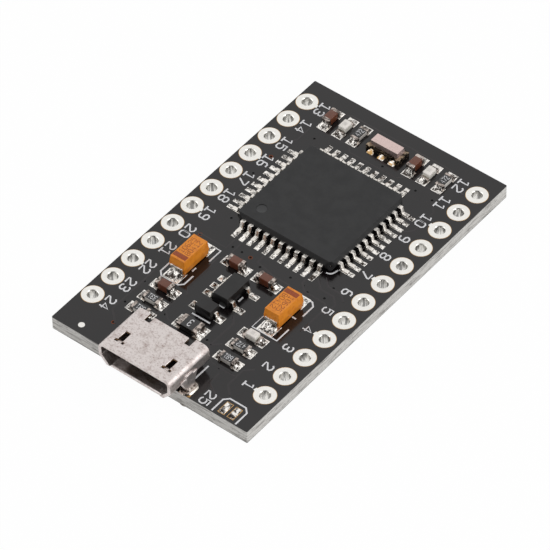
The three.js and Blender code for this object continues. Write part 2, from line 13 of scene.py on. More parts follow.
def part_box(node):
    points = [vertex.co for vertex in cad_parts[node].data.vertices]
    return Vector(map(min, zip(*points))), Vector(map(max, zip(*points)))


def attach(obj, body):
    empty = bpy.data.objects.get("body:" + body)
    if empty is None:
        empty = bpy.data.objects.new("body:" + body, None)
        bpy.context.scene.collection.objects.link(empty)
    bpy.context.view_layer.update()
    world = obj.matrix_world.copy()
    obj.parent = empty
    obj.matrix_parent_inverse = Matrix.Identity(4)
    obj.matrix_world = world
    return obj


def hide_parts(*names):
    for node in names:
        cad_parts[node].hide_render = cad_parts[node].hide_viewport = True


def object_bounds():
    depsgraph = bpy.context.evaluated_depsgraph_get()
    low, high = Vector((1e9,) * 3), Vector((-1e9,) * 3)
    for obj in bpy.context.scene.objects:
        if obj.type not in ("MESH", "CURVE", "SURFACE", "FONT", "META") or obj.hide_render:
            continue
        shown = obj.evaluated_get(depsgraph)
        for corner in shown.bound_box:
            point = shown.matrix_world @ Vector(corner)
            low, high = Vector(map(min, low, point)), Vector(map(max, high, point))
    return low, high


bl_info = {
    "name": "Microcontroller board finishes",
    "version": (1, 0, 0),
    "blender": (4, 5, 0),
    "location": "3D View > Sidebar > Board",
    "description": "Builds the visible pieces of a small microcontroller board around its CAD parts",
    "category": "Object",
}

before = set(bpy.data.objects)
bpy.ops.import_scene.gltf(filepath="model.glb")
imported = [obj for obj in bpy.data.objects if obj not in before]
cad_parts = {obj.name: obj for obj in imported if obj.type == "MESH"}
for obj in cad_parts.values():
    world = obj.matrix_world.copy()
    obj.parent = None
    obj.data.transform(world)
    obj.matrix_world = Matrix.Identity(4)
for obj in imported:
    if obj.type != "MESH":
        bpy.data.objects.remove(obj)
CAD_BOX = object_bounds()
MM = 0.001
BODY = "root"


def extent(node):
    """Lowest and highest corner of a CAD node, in millimetres."""
    low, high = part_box(node)
    return low / MM, high / MM


def middle(node):
    low, high = extent(node)
    return (low + high) / 2


PIN_NODES = sorted(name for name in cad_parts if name.startswith("pin_hole_plating_"))
PIN_FIELD = sum((middle(name) for name in PIN_NODES), Vector()) / len(PIN_NODES)
BOARD_LOW, BOARD_HIGH = extent("board_core")
FACE = extent("solder_mask_top")[1].z
COAT = FACE - extent("solder_mask_top")[0].z
MCU = middle("mcu_body")
LEFT, RIGHT = -1, 1
FLOOR_GAP = 0.02 * MM


def spot(x, y, above=0.0):
    """A point on the component side, from the middle of the pin field."""
    return Vector((PIN_FIELD.x + x, PIN_FIELD.y + y, FACE + above))


def srgb(red, green, blue):
    """Display values from 0 to 255 as scene linear ones."""
    shares = (value / 255 for value in (red, green, blue))
    return tuple(
        share / 12.92 if share <= 0.04045 else ((share + 0.055) / 1.055) ** 2.4
        for share in shares
    )


def shade(name, description, red, green, blue):
    """A colour property with its default in display values."""
    return bpy.props.FloatVectorProperty(
        name=name,
        description=description,
        default=srgb(red, green, blue),
        min=0.0,
        max=1.0,
        size=3,
        subtype="COLOR",
    )


def length(name, description, millimetres):
    """A length property with its default in millimetres."""
    return bpy.props.FloatProperty(
        name=name,
        description=description,
        default=millimetres * MM,
        min=0.0,
        subtype="DISTANCE",
        unit="LENGTH",
    )


def angle(name, description, degrees):
    return bpy.props.FloatProperty(
        name=name, description=description, default=math.radians(degrees), subtype="ANGLE", unit="ROTATION")


def number(name, description, value, **limits):
    return bpy.props.FloatProperty(name=name, description=description, default=value, min=0.0, **limits)


class BoardSizes(bpy.types.PropertyGroup):
    """Small sizes that only the finished pieces have."""

    pad_rise: length("Pad rise", "Height of the tin on a surface pad", 0.025)
    pin_dome: length("Pin dome", "Height of the tin over a pin pad", 0.018)
    ink: length("Ink", "Thickness of the printed legend", 0.012)
    ink_line: length("Ink line", "Width of a printed line", 0.15)
    numeral: length("Numeral", "Height of the numeral beside a pin", 0.85)
    trace_rise: length("Trace rise", "Height of a covered copper line", 0.012)
    trace_line: length("Trace line", "Width of a covered copper line", 0.2)
    via_land: length("Via land", "Radius of the copper ring of a bare via", 0.19)
    via_hole: length("Via hole", "Radius of a via's hole", 0.11)
    shell_edge: length("Shell edge", "Rounding of the receptacle's sheet edges", 0.07)
    moulding_edge: length("Moulding edge", "Rounding of moulded edges", 0.05)
    lead_edge: length("Lead edge", "Rounding of the stamped leads", 0.03)
    fillet_rise: number("Fillet rise", "How far the solder climbs a chip's end, as a share of its height",
                        0.72, max=1.0, subtype="FACTOR")


class BoardColours(bpy.types.PropertyGroup):
    """The colours of the board's materials."""

    mask: shade("Solder mask", "Solder mask over laminate", 13, 9, 10)
    laminate: shade("Laminate", "Cut edge of the glass laminate", 200, 198, 194)
    laminate_streak: shade("Laminate streak", "Darker glass bundles in the cut edge", 98, 94, 90)
    legend: shade("Legend", "Printed lines and numerals", 232, 232, 234)
    tin: shade("Tin", "Tinned pads", 236, 234, 229)
    solder: shade("Solder", "Bright parts of the solder", 250, 246, 240)
    # Painted dark reflection: the colour of the solder's dark lumps.
    solder_shadow: shade("Solder shadow", "Dark parts of the solder", 62, 56, 52)
    leg_solder: shade("Leg solder", "Solder round the receptacle's legs", 222, 214, 205)
    copper: shade("Copper", "Bare copper rims", 112, 66, 48)
    gilt: shade("Gilt", "Flux-stained rims of tinned pads", 196, 158, 104)
    nickel: shade("Nickel", "Receptacle shell", 213, 205, 202)
    nickel_speck: shade("Nickel speck", "Darker grain of the receptacle shell", 152, 134, 128)
    cut_steel: shade("Cut steel", "Sheared edges of the receptacle shell", 150, 118, 84)
    moulding: shade("Moulding", "Epoxy of the microcontroller", 25, 25, 26)
    small_moulding: shade("Small moulding", "Epoxy of the small parts", 12, 10, 10)
    lead: shade("Lead", "Tinned leads", 232, 227, 220)
    tantalum: shade("Tantalum", "Resin of the tantalum capacitors", 232, 142, 36)
    marking: shade("Marking", "Stripe and numerals on the tantalum capacitors", 152, 66, 14)
    ceramic: shade("Ceramic", "Body of a ceramic capacitor", 100, 50, 26)
    termination: shade("Termination", "Ends of the chip parts", 196, 184, 176)
    alumina: shade("Alumina", "Body of a chip resistor", 214, 210, 204)
    film: shade("Film", "Glaze on a chip resistor", 12, 11, 12)
    lens: shade("Lens", "Resin of the light-emitting diodes", 240, 234, 228)
    lens_tint: shade("Lens tint", "Deeper part of the resin", 202, 208, 186)
    lid: shade("Lid", "Resonator lid", 212, 190, 185)
    resonator_fleck: shade("Resonator fleck", "Metal flecks on the ceramic under the lid", 168, 150, 128)
    resonator_base: shade("Resonator base", "Ceramic under the lid", 46, 40, 34)
    silicon: shade("Silicon", "Silicon die", 96, 98, 106)


class StudioSettings(bpy.types.PropertyGroup):
    """The camera and the lamps."""

    azimuth: angle("Azimuth", "Turn of the camera round the board from its front", 39.176)
    elevation: angle("Elevation", "Height of the camera over the horizon", 46.755)
    roll: angle("Roll", "Turn of the camera about its own line of sight", 0.948)
    camera_place: bpy.props.FloatVectorProperty(
        name="Camera place",
        description="Where the camera stands",
        default=(0.165358, -0.203145, 0.277499),
        size=3,
        subtype="TRANSLATION",
        unit="LENGTH",
    )
    lens: number("Lens", "Focal length in millimetres on a 36 mm sensor", 306.8)
    ambient: number("Ambient", "Strength of the surroundings as the light on matt surfaces", 0.6)
    key: number("Key lamp", "Power of the large lamp at the right", 1.5, unit="POWER")
    fill: number("Fill lamp", "Power of the lamp at the left", 0.6, unit="POWER")
    floor_inset: length("Floor inset", "How far inside the board's box the floor turns matt", 1.6)
    floor_glow: number("Floor glow", "Share of the floor that shows as plain white", 0.97,
                       max=1.0, subtype="FACTOR")


class Signal:
    """An output socket that is worked with as a number."""

    def __init__(self, tree, socket):
        self.tree = tree
        self.socket = socket

    def _math(self, operation, first, second):
        return self.tree.node("ShaderNodeMath", {"operation": operation}, {0: first, 1: second})

    def __add__(self, other):
        return self._math("ADD", self, other)

    def __radd__(self, other):
        return self._math("ADD", other, self)

    def __sub__(self, other):
        return self._math("SUBTRACT", self, other)

    def __rsub__(self, other):
        return self._math("SUBTRACT", other, self)

    def __mul__(self, other):
        return self._math("MULTIPLY", self, other)

    def __rmul__(self, other):
        return self._math("MULTIPLY", other, self)

    def __lt__(self, other):
        return self._math("LESS_THAN", self, other)

    def __or__(self, other):
        return self._math("MAXIMUM", self, other)


class Tree:
    """A node tree that is written as expressions."""

    def __init__(self, owner):
        owner.use_nodes = True
        self.nodes = owner.node_tree.nodes
        self.links = owner.node_tree.links

    def feed(self, socket, value):
        if isinstance(value, Signal):
            self.links.new(value.socket, socket)
        else:
            socket.default_value = value

    def node(self, kind, settings=None, inputs=None, output=0):
        """Adds a node: its settings first, then the values or links of its sockets."""
        made = self.nodes.new(kind)
        for key, value in (settings or {}).items():
            setattr(made, key, value)
        for key, value in (inputs or {}).items():
            self.feed(made.inputs[key], value)
        return Signal(self, made.outputs[output])

    def seen_directly(self):
        """One for camera, glossy and transmission rays, and nought for the rest."""
        return self.seen_by("Camera") | self.seen_by("Glossy") | self.seen_by("Transmission")

    def seen_by(self, kind):
        return self.node("ShaderNodeLightPath", output=f"Is {kind} Ray")


class Finish(Tree):
    """The material of one finish, with patterns measured in millimetres."""

    def __init__(self, name, colour, roughness, metallic=0.0, **constants):
        self.material = bpy.data.materials.new(name)
        super().__init__(self.material)
        self.shader = self.nodes["Principled BSDF"]
        self.shader.inputs["Base Color"].default_value = (*colour, 1.0)
        self.shader.inputs["Roughness"].default_value = roughness
        self.shader.inputs["Metallic"].default_value = metallic
        for socket, value in constants.items():
            self.shader.inputs[socket.replace("_", " ").title().replace("Ior", "IOR")].default_value = value
        place = self.node("ShaderNodeTexCoord", output="Object")
        self.place = self.node("ShaderNodeVectorMath", {"operation": "SCALE"},
                               {0: place, "Scale": 1 / MM})

    def grain(self, per_mm, detail=2.0, stretch=(1.0, 1.0, 1.0)):
        """Noise about one half, with so many features to the millimetre."""
        place = self.node("ShaderNodeVectorMath", {"operation": "MULTIPLY"},
                          {0: self.place, 1: stretch})
        return self.node("ShaderNodeTexNoise", None,
                         {"Vector": place, "Scale": per_mm, "Detail": detail, "Roughness": 0.6})

    def between(self, signal, low, high, first=0.0, second=1.0):
        """Maps low..high to first..second and holds it there."""
        return self.node("ShaderNodeMapRange", {"interpolation_type": "SMOOTHSTEP"},
                         {"Value": signal, "From Min": low, "From Max": high,
                          "To Min": first, "To Max": second})

    def colours(self, factor, first, second):
        """Mixes two colours, or a colour and a colour signal."""
        def whole(value):
            return value if isinstance(value, Signal) else (*value, 1.0)
        return self.node("ShaderNodeMix", {"data_type": "RGBA"},
                         {0: factor, 6: whole(first), 7: whole(second)}, 2)

    def paint(self, **sockets):
        for name, value in sockets.items():
            self.feed(self.shader.inputs[name.replace("_", " ").title()], value)

    def bump(self, height, depth, strength=1.0):
        """Raises the surface by up to depth millimetres where height is one."""
        normal = self.node("ShaderNodeBump", None,
                           {"Height": height, "Distance": depth * MM, "Strength": strength})
        self.feed(self.shader.inputs["Normal"], normal)


def solder_mask_finish(name, colour):
    """Satin black mask, a little uneven over its copper."""
    made = Finish(name, colour, 0.12, ior=1.5)
    cloud = made.grain(0.35, 3.0)
    fine = made.grain(9.0, 2.0)
    warm = scaled(colour, 1.5)
    made.paint(base_color=made.colours(made.between(cloud, 0.35, 0.7), colour, warm))
    made.paint(roughness=made.between(cloud, 0.3, 0.7, 0.09, 0.16) + fine * 0.03)
    made.bump(cloud * 0.8 + fine * 0.2, 0.006, 0.35)
    return made.material


def laminate_finish(colours):
    """Routed glass laminate: pale resin with darker bundles that lie along the edge."""
    made = Finish("laminate", colours.laminate, 0.75)
    layers = made.grain(1.0, 3.0, (0.5, 0.5, 6.0))
    fibres = made.grain(3.0, 3.0, (0.6, 0.6, 3.0))
    chips = made.grain(2.2, 2.0)
    pits = made.grain(5.0, 3.0, (0.8, 0.8, 1.6))
    streaks = (made.between(layers, 0.46, 0.66) * 0.6 + made.between(chips, 0.6, 0.74) * 0.35
               + made.between(pits, 0.56, 0.7) * 0.4)
    made.paint(base_color=made.colours(streaks, colours.laminate, colours.laminate_streak))
    made.paint(roughness=made.between(fibres, 0.3, 0.7, 0.6, 0.9))
    made.bump(fibres * 0.6 + layers * 0.4, 0.03, 0.7)
    return made.material


def legend_finish(colours):
    """Printed ink, slightly thin in places."""
    made = Finish("legend_ink", colours.legend, 0.55)
    thin = made.grain(7.0, 2.0)
    dull = scaled(colours.legend, 0.72)
    made.paint(base_color=made.colours(made.between(thin, 0.55, 0.75), colours.legend, dull))
    made.bump(thin, 0.004, 0.4)
    return made.material


def scaled(colour, share):
    """A darker or paler version of a colour."""
    return tuple(value * share for value in colour)


def metal_finish(name, colour, low, high, per_mm, depth, dull=0.8):
    """Plated or soldered metal with uneven polish between two roughnesses."""
    made = Finish(name, colour, low, 1.0)
    patch = made.grain(per_mm, 3.0)
    fine = made.grain(per_mm * 6, 2.0)
    # Fine specks darkened by dull: partly the metal's own grain, partly painted shade for contrast.
    grain_and_painted_shade = scaled(colour, dull)
    made.paint(base_color=made.colours(made.between(fine, 0.5, 0.75), colour, grain_and_painted_shade))
    made.paint(roughness=made.between(patch, 0.3, 0.7, low, high))
    made.bump(patch * 0.75 + fine * 0.25, depth, 0.5)
    return made.material


def mottled_metal_finish(name, bright, dark, per_mm, share, roughness, depth):
    """Metal whose lumps are painted as reflections of either a lamp or the dark: share is how much of it is
    dark. Where dark is another colour than a darker copy of bright, the dark lumps are the material's own
    second tone.
    """
    made = Finish(name, bright, roughness, 1.0)
    lumps = made.grain(per_mm, 3.0)
    fine = made.grain(per_mm * 4, 2.0)
    edge = 0.36 + 0.24 * share
    # Mask of the dark lumps: painted dark reflections where dark is a darker copy of bright, the material's
    # own second tone where it is another colour.
    tone_and_painted_reflection = made.between(lumps * 0.75 + fine * 0.25, edge - 0.02, edge + 0.12, 1.0, 0.0)
    made.paint(base_color=made.colours(tone_and_painted_reflection, bright, dark))
    made.paint(roughness=made.between(fine, 0.3, 0.7, roughness, roughness * 2.2))
    made.bump(lumps * 0.7 + fine * 0.3, depth, 0.6)
    return made.material


def bore_finish(colours):
    """Drilled and plated wall with upright drill marks, its tin painted in dark and pale upright streaks as
    reflections in the bore.
    """
    made = Finish("plated_bore", colours.tin, 0.3, 1.0)
    marks = made.grain(4.5, 3.0, (1.0, 1.0, 0.12))
    # Painted reflections: the drill marks set upright streaks of dark and pale tin.
    painted_reflection_streak = made.between(marks, 0.42, 0.6)
    dark = scaled(colours.tin, 0.3)
    made.paint(base_color=made.colours(painted_reflection_streak, dark, scaled(colours.tin, 1.1)))
    made.paint(roughness=made.between(marks, 0.3, 0.7, 0.16, 0.4))
    made.bump(marks, 0.06, 0.8)
    return made.material


def shell_finish(colours):
    """Nickel-plated sheet with a fine grey-pink grain and faint rolling marks."""
    made = Finish("receptacle_nickel", colours.nickel, 0.38, 1.0)
    grain = made.grain(7.0, 4.0)
    blotch = made.grain(1.3, 3.0)
    scratches = made.grain(3.0, 2.0, (6.0, 0.35, 1.0))
    speck = made.between(grain, 0.5, 0.68) * 0.6 + made.between(blotch, 0.48, 0.7) * 0.4
    made.paint(base_color=made.colours(speck, colours.nickel, colours.nickel_speck))
    made.paint(roughness=made.between(blotch, 0.3, 0.7, 0.3, 0.46) + scratches * 0.06)
    made.bump(grain * 0.6 + scratches * 0.4, 0.02, 0.45)
    return made.material


def moulding_finish(name, colour, roughness, per_mm, depth):
    """Filled epoxy with the fine grain of its mould."""
    made = Finish(name, colour, roughness, ior=1.5)
    grain = made.grain(per_mm, 3.0)
    cloud = made.grain(0.8, 3.0)
    pale = scaled(colour, 1.35)
    made.paint(base_color=made.colours(made.between(grain, 0.4, 0.8) * 0.5
                                       + made.between(cloud, 0.4, 0.7) * 0.3, colour, pale))
    made.paint(roughness=made.between(cloud, 0.3, 0.7, roughness - 0.06, roughness + 0.06))
    made.bump(grain, depth, 0.5)
    return made.material


def resin_finish(colours):
    """Coloured moulding resin with slight mottling."""
    made = Finish("tantalum_resin", colours.tantalum, 0.42, ior=1.5)
    mottle = made.grain(2.2, 3.0)
    grain = made.grain(14.0, 2.0)
    deep = (colours.tantalum[0] * 0.82, colours.tantalum[1] * 0.72, colours.tantalum[2] * 0.6)
    made.paint(base_color=made.colours(made.between(mottle, 0.4, 0.72), colours.tantalum, deep))
    made.paint(roughness=made.between(grain, 0.3, 0.7, 0.34, 0.5))
    made.bump(grain * 0.5 + mottle * 0.5, 0.012, 0.5)
    return made.material


def ceramic_finish(name, colour, roughness):
    """Fired ceramic with faint darker grain."""
    made = Finish(name, colour, roughness, ior=1.6)
    grain = made.grain(10.0, 3.0)
    deep = scaled(colour, 0.7)
    made.paint(base_color=made.colours(made.between(grain, 0.42, 0.72), colour, deep))
    made.paint(roughness=made.between(grain, 0.3, 0.7, roughness - 0.08, roughness + 0.08))
    made.bump(grain, 0.008, 0.5)
    return made.material


def lens_finish(colours):
    """Clear resin over a pale reflector, deeper in colour at its foot."""
    made = Finish("led_resin", colours.lens, 0.28, ior=1.52)
    height = made.node("ShaderNodeSeparateXYZ", None, {0: made.place}, "Z")
    cloud = made.grain(3.0, 3.0)
    foot = made.between(height, FACE + 0.22, FACE + 0.42, 1.0, 0.0)
    made.paint(base_color=made.colours(foot * 0.7 + made.between(cloud, 0.5, 0.7) * 0.3,
                                       colours.lens, colours.lens_tint))
    made.paint(roughness=made.between(cloud, 0.3, 0.7, 0.2, 0.36))
    made.bump(cloud, 0.01, 0.4)
    return made.material


FINISHES = {}


def make_finishes(colours):
    """Makes every finish once, by the names that the pieces use."""
    FINISHES.update(
        mask=solder_mask_finish("solder_mask", colours.mask),
        raised_mask=solder_mask_finish("solder_mask_over_copper",
                                       scaled(colours.mask, 2.6)),
        laminate=laminate_finish(colours),
        legend=legend_finish(colours),
        tin=metal_finish("tinned_pad", colours.tin, 0.2, 0.38, 1.6, 0.03, 0.92),
        # Solder: its dark lumps, in the solder shadow colour, are painted dark reflections.
        solder=mottled_metal_finish("solder", colours.solder, colours.solder_shadow, 2.6, 0.42, 0.08, 0.16),
        leg_solder=metal_finish("leg_solder", colours.leg_solder, 0.1, 0.22, 2.0, 0.12, 0.6),
        # Tinned lands: dark lumps are a darker copy of the solder colour, painted as dark reflections.
        land=mottled_metal_finish("tinned_land", colours.solder, scaled(colours.solder, 0.35),
                                  2.2, 0.22, 0.15, 0.06),
        bore=bore_finish(colours),
        copper=metal_finish("bare_copper", colours.copper, 0.3, 0.5, 3.0, 0.01),
        gilt=metal_finish("gilt_rim", colours.gilt, 0.25, 0.45, 3.0, 0.01),
        shell=shell_finish(colours),
        cut_steel=metal_finish("sheared_edge", colours.cut_steel, 0.4, 0.6, 5.0, 0.02),
        moulding=moulding_finish("controller_epoxy", colours.moulding, 0.62, 11.0, 0.012),
        dimple=moulding_finish("dimple_epoxy", scaled(colours.moulding, 2.2), 0.4, 6.0, 0.003),
        small_moulding=moulding_finish("small_epoxy", colours.small_moulding, 0.5, 9.0, 0.015),
        # Leads: dark lumps are a darker copy of the lead colour, painted as dark reflections.
        lead=mottled_metal_finish("tinned_lead", colours.lead, scaled(colours.lead, 0.35),
                                  2.4, 0.16, 0.14, 0.05),
        contact=metal_finish("contact_plate", colours.gilt, 0.2, 0.35, 2.4, 0.01),
        resin=resin_finish(colours),
        marking=ceramic_finish("marking_ink", colours.marking, 0.65),
        ceramic=ceramic_finish("capacitor_ceramic", colours.ceramic, 0.4),
        # Chip ends: dark lumps are a darker copy of the termination colour, painted as dark reflections.
        termination=mottled_metal_finish("chip_termination", colours.termination,
                                         scaled(colours.termination, 0.22),
                                         2.8, 0.42, 0.18, 0.05),
        alumina=ceramic_finish("alumina", colours.alumina, 0.5),
        film=ceramic_finish("resistor_glaze", colours.film, 0.3),
        lens=lens_finish(colours),
        lens_window=ceramic_finish("led_window", scaled(colours.lens, 0.86), 0.3),
        lid=metal_finish("resonator_lid", colours.lid, 0.28, 0.42, 1.6, 0.02, 0.74),
        resonator_base=mottled_metal_finish("resonator_ceramic", colours.resonator_fleck,
                                            colours.resonator_base, 1.8, 0.55, 0.3, 0.03),
        gilt_solder=mottled_metal_finish("gilt_solder", colours.solder, colours.gilt, 3.0, 0.5, 0.2, 0.08),
        silicon=ceramic_finish("silicon", colours.silicon, 0.2),
        # Near-black matt finish that paints the shade deep inside a hole.
        void=Finish("painted_hole_shade", srgb(6, 5, 5), 0.9).material,
    )


class Shape:
    """A mesh in the making, in millimetres, that gathers parts with their finishes."""

    def __init__(self):
        self.mesh = bmesh.new()
        self.finishes = []

    def take(self, part, finish, chosen=None):
        """Adds a part in one finish, or in the finish that chosen names for a face's middle and normal."""
        bmesh.ops.recalc_face_normals(part, faces=part.faces)
        for face in part.faces:
            name = chosen(face.calc_center_median(), face.normal) if chosen else None
            face.material_index = self.number(name or finish)
        loose = bpy.data.meshes.new("part")
        part.to_mesh(loose)
        part.free()
        self.mesh.from_mesh(loose)
        bpy.data.meshes.remove(loose)

    def number(self, finish):
        if finish not in self.finishes:
            self.finishes.append(finish)
        return self.finishes.index(finish)

    def piece(self, name, replaced=(), smooth=35):
        """Makes the shape a shown piece that rides on the board."""
        bmesh.ops.scale(self.mesh, vec=(MM, MM, MM), verts=self.mesh.verts)
        mesh = bpy.data.meshes.new(name)
        self.mesh.to_mesh(mesh)
        self.mesh.free()
        if not mesh.polygons:
            raise RuntimeError(f"{name} has no faces")
        for finish in self.finishes:
            mesh.materials.append(FINISHES[finish])
        mesh.shade_smooth()
        mesh.set_sharp_from_angle(angle=math.radians(smooth))
        made = bpy.data.objects.new(name, mesh)
        bpy.context.scene.collection.objects.link(made)
        weighted = made.modifiers.new("flat_faces", "WEIGHTED_NORMAL")
        weighted.keep_sharp = True
        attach(made, BODY)
        if replaced:
            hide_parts(*replaced)
        return made


def round_edges(part, width, segments=2, edges=None):
    bmesh.ops.bevel(
        part,
        geom=list(edges if edges is not None else part.edges),
        offset=width,
        offset_type="OFFSET",
        segments=segments,
        profile=0.5,
        affect="EDGES",
        material=-1,
        clamp_overlap=True,
    )


def block(low, high, edge=0.03, segments=2):
    """A box between two corners, with rounded edges."""
    low, high = Vector(low), Vector(high)
    part = bmesh.new()
    bmesh.ops.create_cube(part, size=1.0)
    bmesh.ops.scale(part, vec=high - low, verts=part.verts)
    bmesh.ops.translate(part, vec=(low + high) / 2, verts=part.verts)
    if edge:
        round_edges(part, edge, segments)
    return part


def disc(x, y, z, radius, steps=24):
    part = bmesh.new()
    bmesh.ops.create_circle(part, cap_ends=True, segments=steps, radius=radius)
    bmesh.ops.translate(part, vec=(x, y, z), verts=part.verts)
    return part


def turned(profile, x, y, steps):
    """A ring: a closed profile of radius and height, spun about an upright axis."""
    part = bmesh.new()
    ring = [part.verts.new((radius, 0.0, z)) for radius, z in profile]
    edges = [part.edges.new((ring[i - 1], ring[i])) for i in range(len(ring))]
    bmesh.ops.spin(part, geom=edges, cent=(0, 0, 0), axis=(0, 0, 1), angle=2 * math.pi,
                   steps=steps, use_merge=True)
    bmesh.ops.remove_doubles(part, verts=part.verts, dist=1e-5)
    bmesh.ops.translate(part, vec=(x, y, 0.0), verts=part.verts)
    return part


def cad_copy(node, edge, segments=2, crease=30, where=None):
    """A copy of a CAD node with whole faces and rounded creases."""
    part = bmesh.new()
    part.from_mesh(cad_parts[node].data)
    bmesh.ops.scale(part, vec=(1 / MM,) * 3, verts=part.verts)
    bmesh.ops.remove_doubles(part, verts=part.verts, dist=5e-4)
    bmesh.ops.dissolve_limit(part, angle_limit=math.radians(1.0), verts=part.verts,
                             edges=part.edges, use_dissolve_boundaries=False)
    creases = [
        side for side in part.edges
        if len(side.link_faces) == 2
        and side.calc_face_angle() > math.radians(crease)
        and (where is None or where((side.verts[0].co + side.verts[1].co) / 2))
    ]
    round_edges(part, edge, segments, creases)
    return part


def dress(node, finish, edge, segments=2, crease=30, smooth=28, where=None, chosen=None):
    """Replaces a CAD node by a copy with rounded creases."""
    shape = Shape()
    shape.take(cad_copy(node, edge, segments, crease, where), finish, chosen)
    shape.piece(f"{node}_finished", [node], smooth)


def recolour(node, finish):
    """Gives a CAD node that stays in view a finish of its own."""
    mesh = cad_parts[node].data
    mesh.materials.clear()
    mesh.materials.append(FINISHES[finish])


def meshed(curve):
    """The mesh of a curve or text, as a part."""
    holder = bpy.data.objects.new("outline", curve)
    mesh = bpy.data.meshes.new_from_object(holder)
    part = bmesh.new()
    part.from_mesh(mesh)
    bpy.data.objects.remove(holder)
    bpy.data.meshes.remove(mesh)
    bpy.data.curves.remove(curve)
    return part


def bracket(points):
    """Places on the component side, from the middle of the pin field."""
    return [spot(x, y) for x, y in points]


def stroke(points, width, rise, closed=False, smooth=False):
    """A raised line along points that lie at one height; half of it is sunk below them."""
    line = bpy.data.curves.new("stroke", "CURVE")
    line.dimensions = "3D"
    line.bevel_depth = width / 2
    line.bevel_resolution = 1
    line.resolution_u = 6
    line.use_fill_caps = True
    spline = line.splines.new("NURBS" if smooth else "POLY")
    spline.points.add(len(points) - 1)
    for knot, place in zip(spline.points, points):
        knot.co = (place[0], place[1], 0.0, 1.0)
    spline.use_cyclic_u = closed
    if smooth:
        spline.order_u = 3
        spline.use_endpoint_u = not closed
    part = meshed(line)
    bmesh.ops.remove_doubles(part, verts=part.verts, dist=1e-5)
    bmesh.ops.scale(part, vec=(1.0, 1.0, 2 * rise / width), verts=part.verts)
    bmesh.ops.translate(part, vec=(0.0, 0.0, points[0][2]), verts=part.verts)
    return part


def pen(*strokes):
    """Pen strokes written as pairs of grid steps, such as 04 for x 0 and y 4."""
    return [[(int(pair[0]), int(pair[1])) for pair in line.split()] for line in strokes]


# Numerals over a grid four steps wide and six high.
DIGITS = {
    "0": pen("01 05 16 36 45 41 30 10 01 05"),
    "1": pen("05 26 20", "00 40"),
    "2": pen("05 16 36 45 44 01 00 40"),
    "3": pen("05 16 36 45 44 33 13", "33 42 41 30 10 01"),
    "4": pen("30 36 02 42"),
    "5": pen("46 06 03 14 34 43 41 30 10 01"),
    "6": pen("36 16 05 01 10 30 41 42 33 03"),
    "7": pen("06 46 45 10"),
    "8": pen("13 04 05 16 36 45 44 33 13 02 01 10 30 41 42 33"),
    "9": pen("10 30 41 45 36 16 05 04 13 43"),
}


def numerals(text, height, place, turn, rise=0.012, weight=0.17, stretch=1.0):
    """Plain numerals centred on a point and turned about an upright axis, in degrees."""
    step = height / 6
    advance = 5.7 * step
    part = bmesh.new()
    for index, digit in enumerate(text):
        left = (index - (len(text) - 1) / 2) * advance - 2 * step
        for line in DIGITS[digit]:
            path = [(left + x * step, (y - 3) * step, 0.0) for x, y in line]
            drawn = stroke(path, weight * height, rise)
            loose = bpy.data.meshes.new("digit")
            drawn.to_mesh(loose)
            drawn.free()
            part.from_mesh(loose)
            bpy.data.meshes.remove(loose)
    bmesh.ops.scale(part, vec=(stretch, 1.0, 1.0), verts=part.verts)
    bmesh.ops.rotate(part, cent=(0, 0, 0), matrix=Matrix.Rotation(math.radians(turn), 3, "Z"),
                     verts=part.verts)
    bmesh.ops.translate(part, vec=place, verts=part.verts)
    return part


def ring_points(x, y, radius, steps):
    return [(x + radius * math.cos(2 * math.pi * i / steps),
             y + radius * math.sin(2 * math.pi * i / steps)) for i in range(steps)]


def slot_points(x, y, width, length_along, steps=8):
    """A slot along Y with round ends."""
    radius = width / 2
    straight = length_along / 2 - radius
    ends = [(i * math.pi / steps, straight) for i in range(steps + 1)]
    ends += [(math.pi + i * math.pi / steps, -straight) for i in range(steps + 1)]
    return [(x + radius * math.cos(angle), y + shift + radius * math.sin(angle))
            for angle, shift in ends]


def board_outline(corner=0.1, steps=4):
    """The board's rim, with its small corner rounding."""
    points = []
    for i, (x, y) in enumerate([(BOARD_HIGH.x, BOARD_LOW.y), (BOARD_HIGH.x, BOARD_HIGH.y),
                                (BOARD_LOW.x, BOARD_HIGH.y), (BOARD_LOW.x, BOARD_LOW.y)]):
        centre = Vector((x - math.copysign(corner, x), y - math.copysign(corner, y)))
        for step in range(steps + 1):
            angle = (i - 1 + step / steps) * math.pi / 2
            points.append((centre.x + corner * math.cos(angle), centre.y + corner * math.sin(angle)))
    return points


def sheet(outlines, low, high):
    """A flat sheet whose first outline is its rim and whose others are its holes."""
    flat = bpy.data.curves.new("sheet", "CURVE")
    flat.dimensions = "2D"
    flat.fill_mode = "BOTH"
    flat.extrude = (high - low) / 2
    for outline in outlines:
        spline = flat.splines.new("POLY")
        spline.points.add(len(outline) - 1)
        for knot, place in zip(spline.points, outline):
            knot.co = (place[0], place[1], 0.0, 1.0)
        spline.use_cyclic_u = True
    part = meshed(flat)
    bmesh.ops.remove_doubles(part, verts=part.verts, dist=1e-5)
    bmesh.ops.translate(part, vec=(0.0, 0.0, (low + high) / 2), verts=part.verts)
    return part


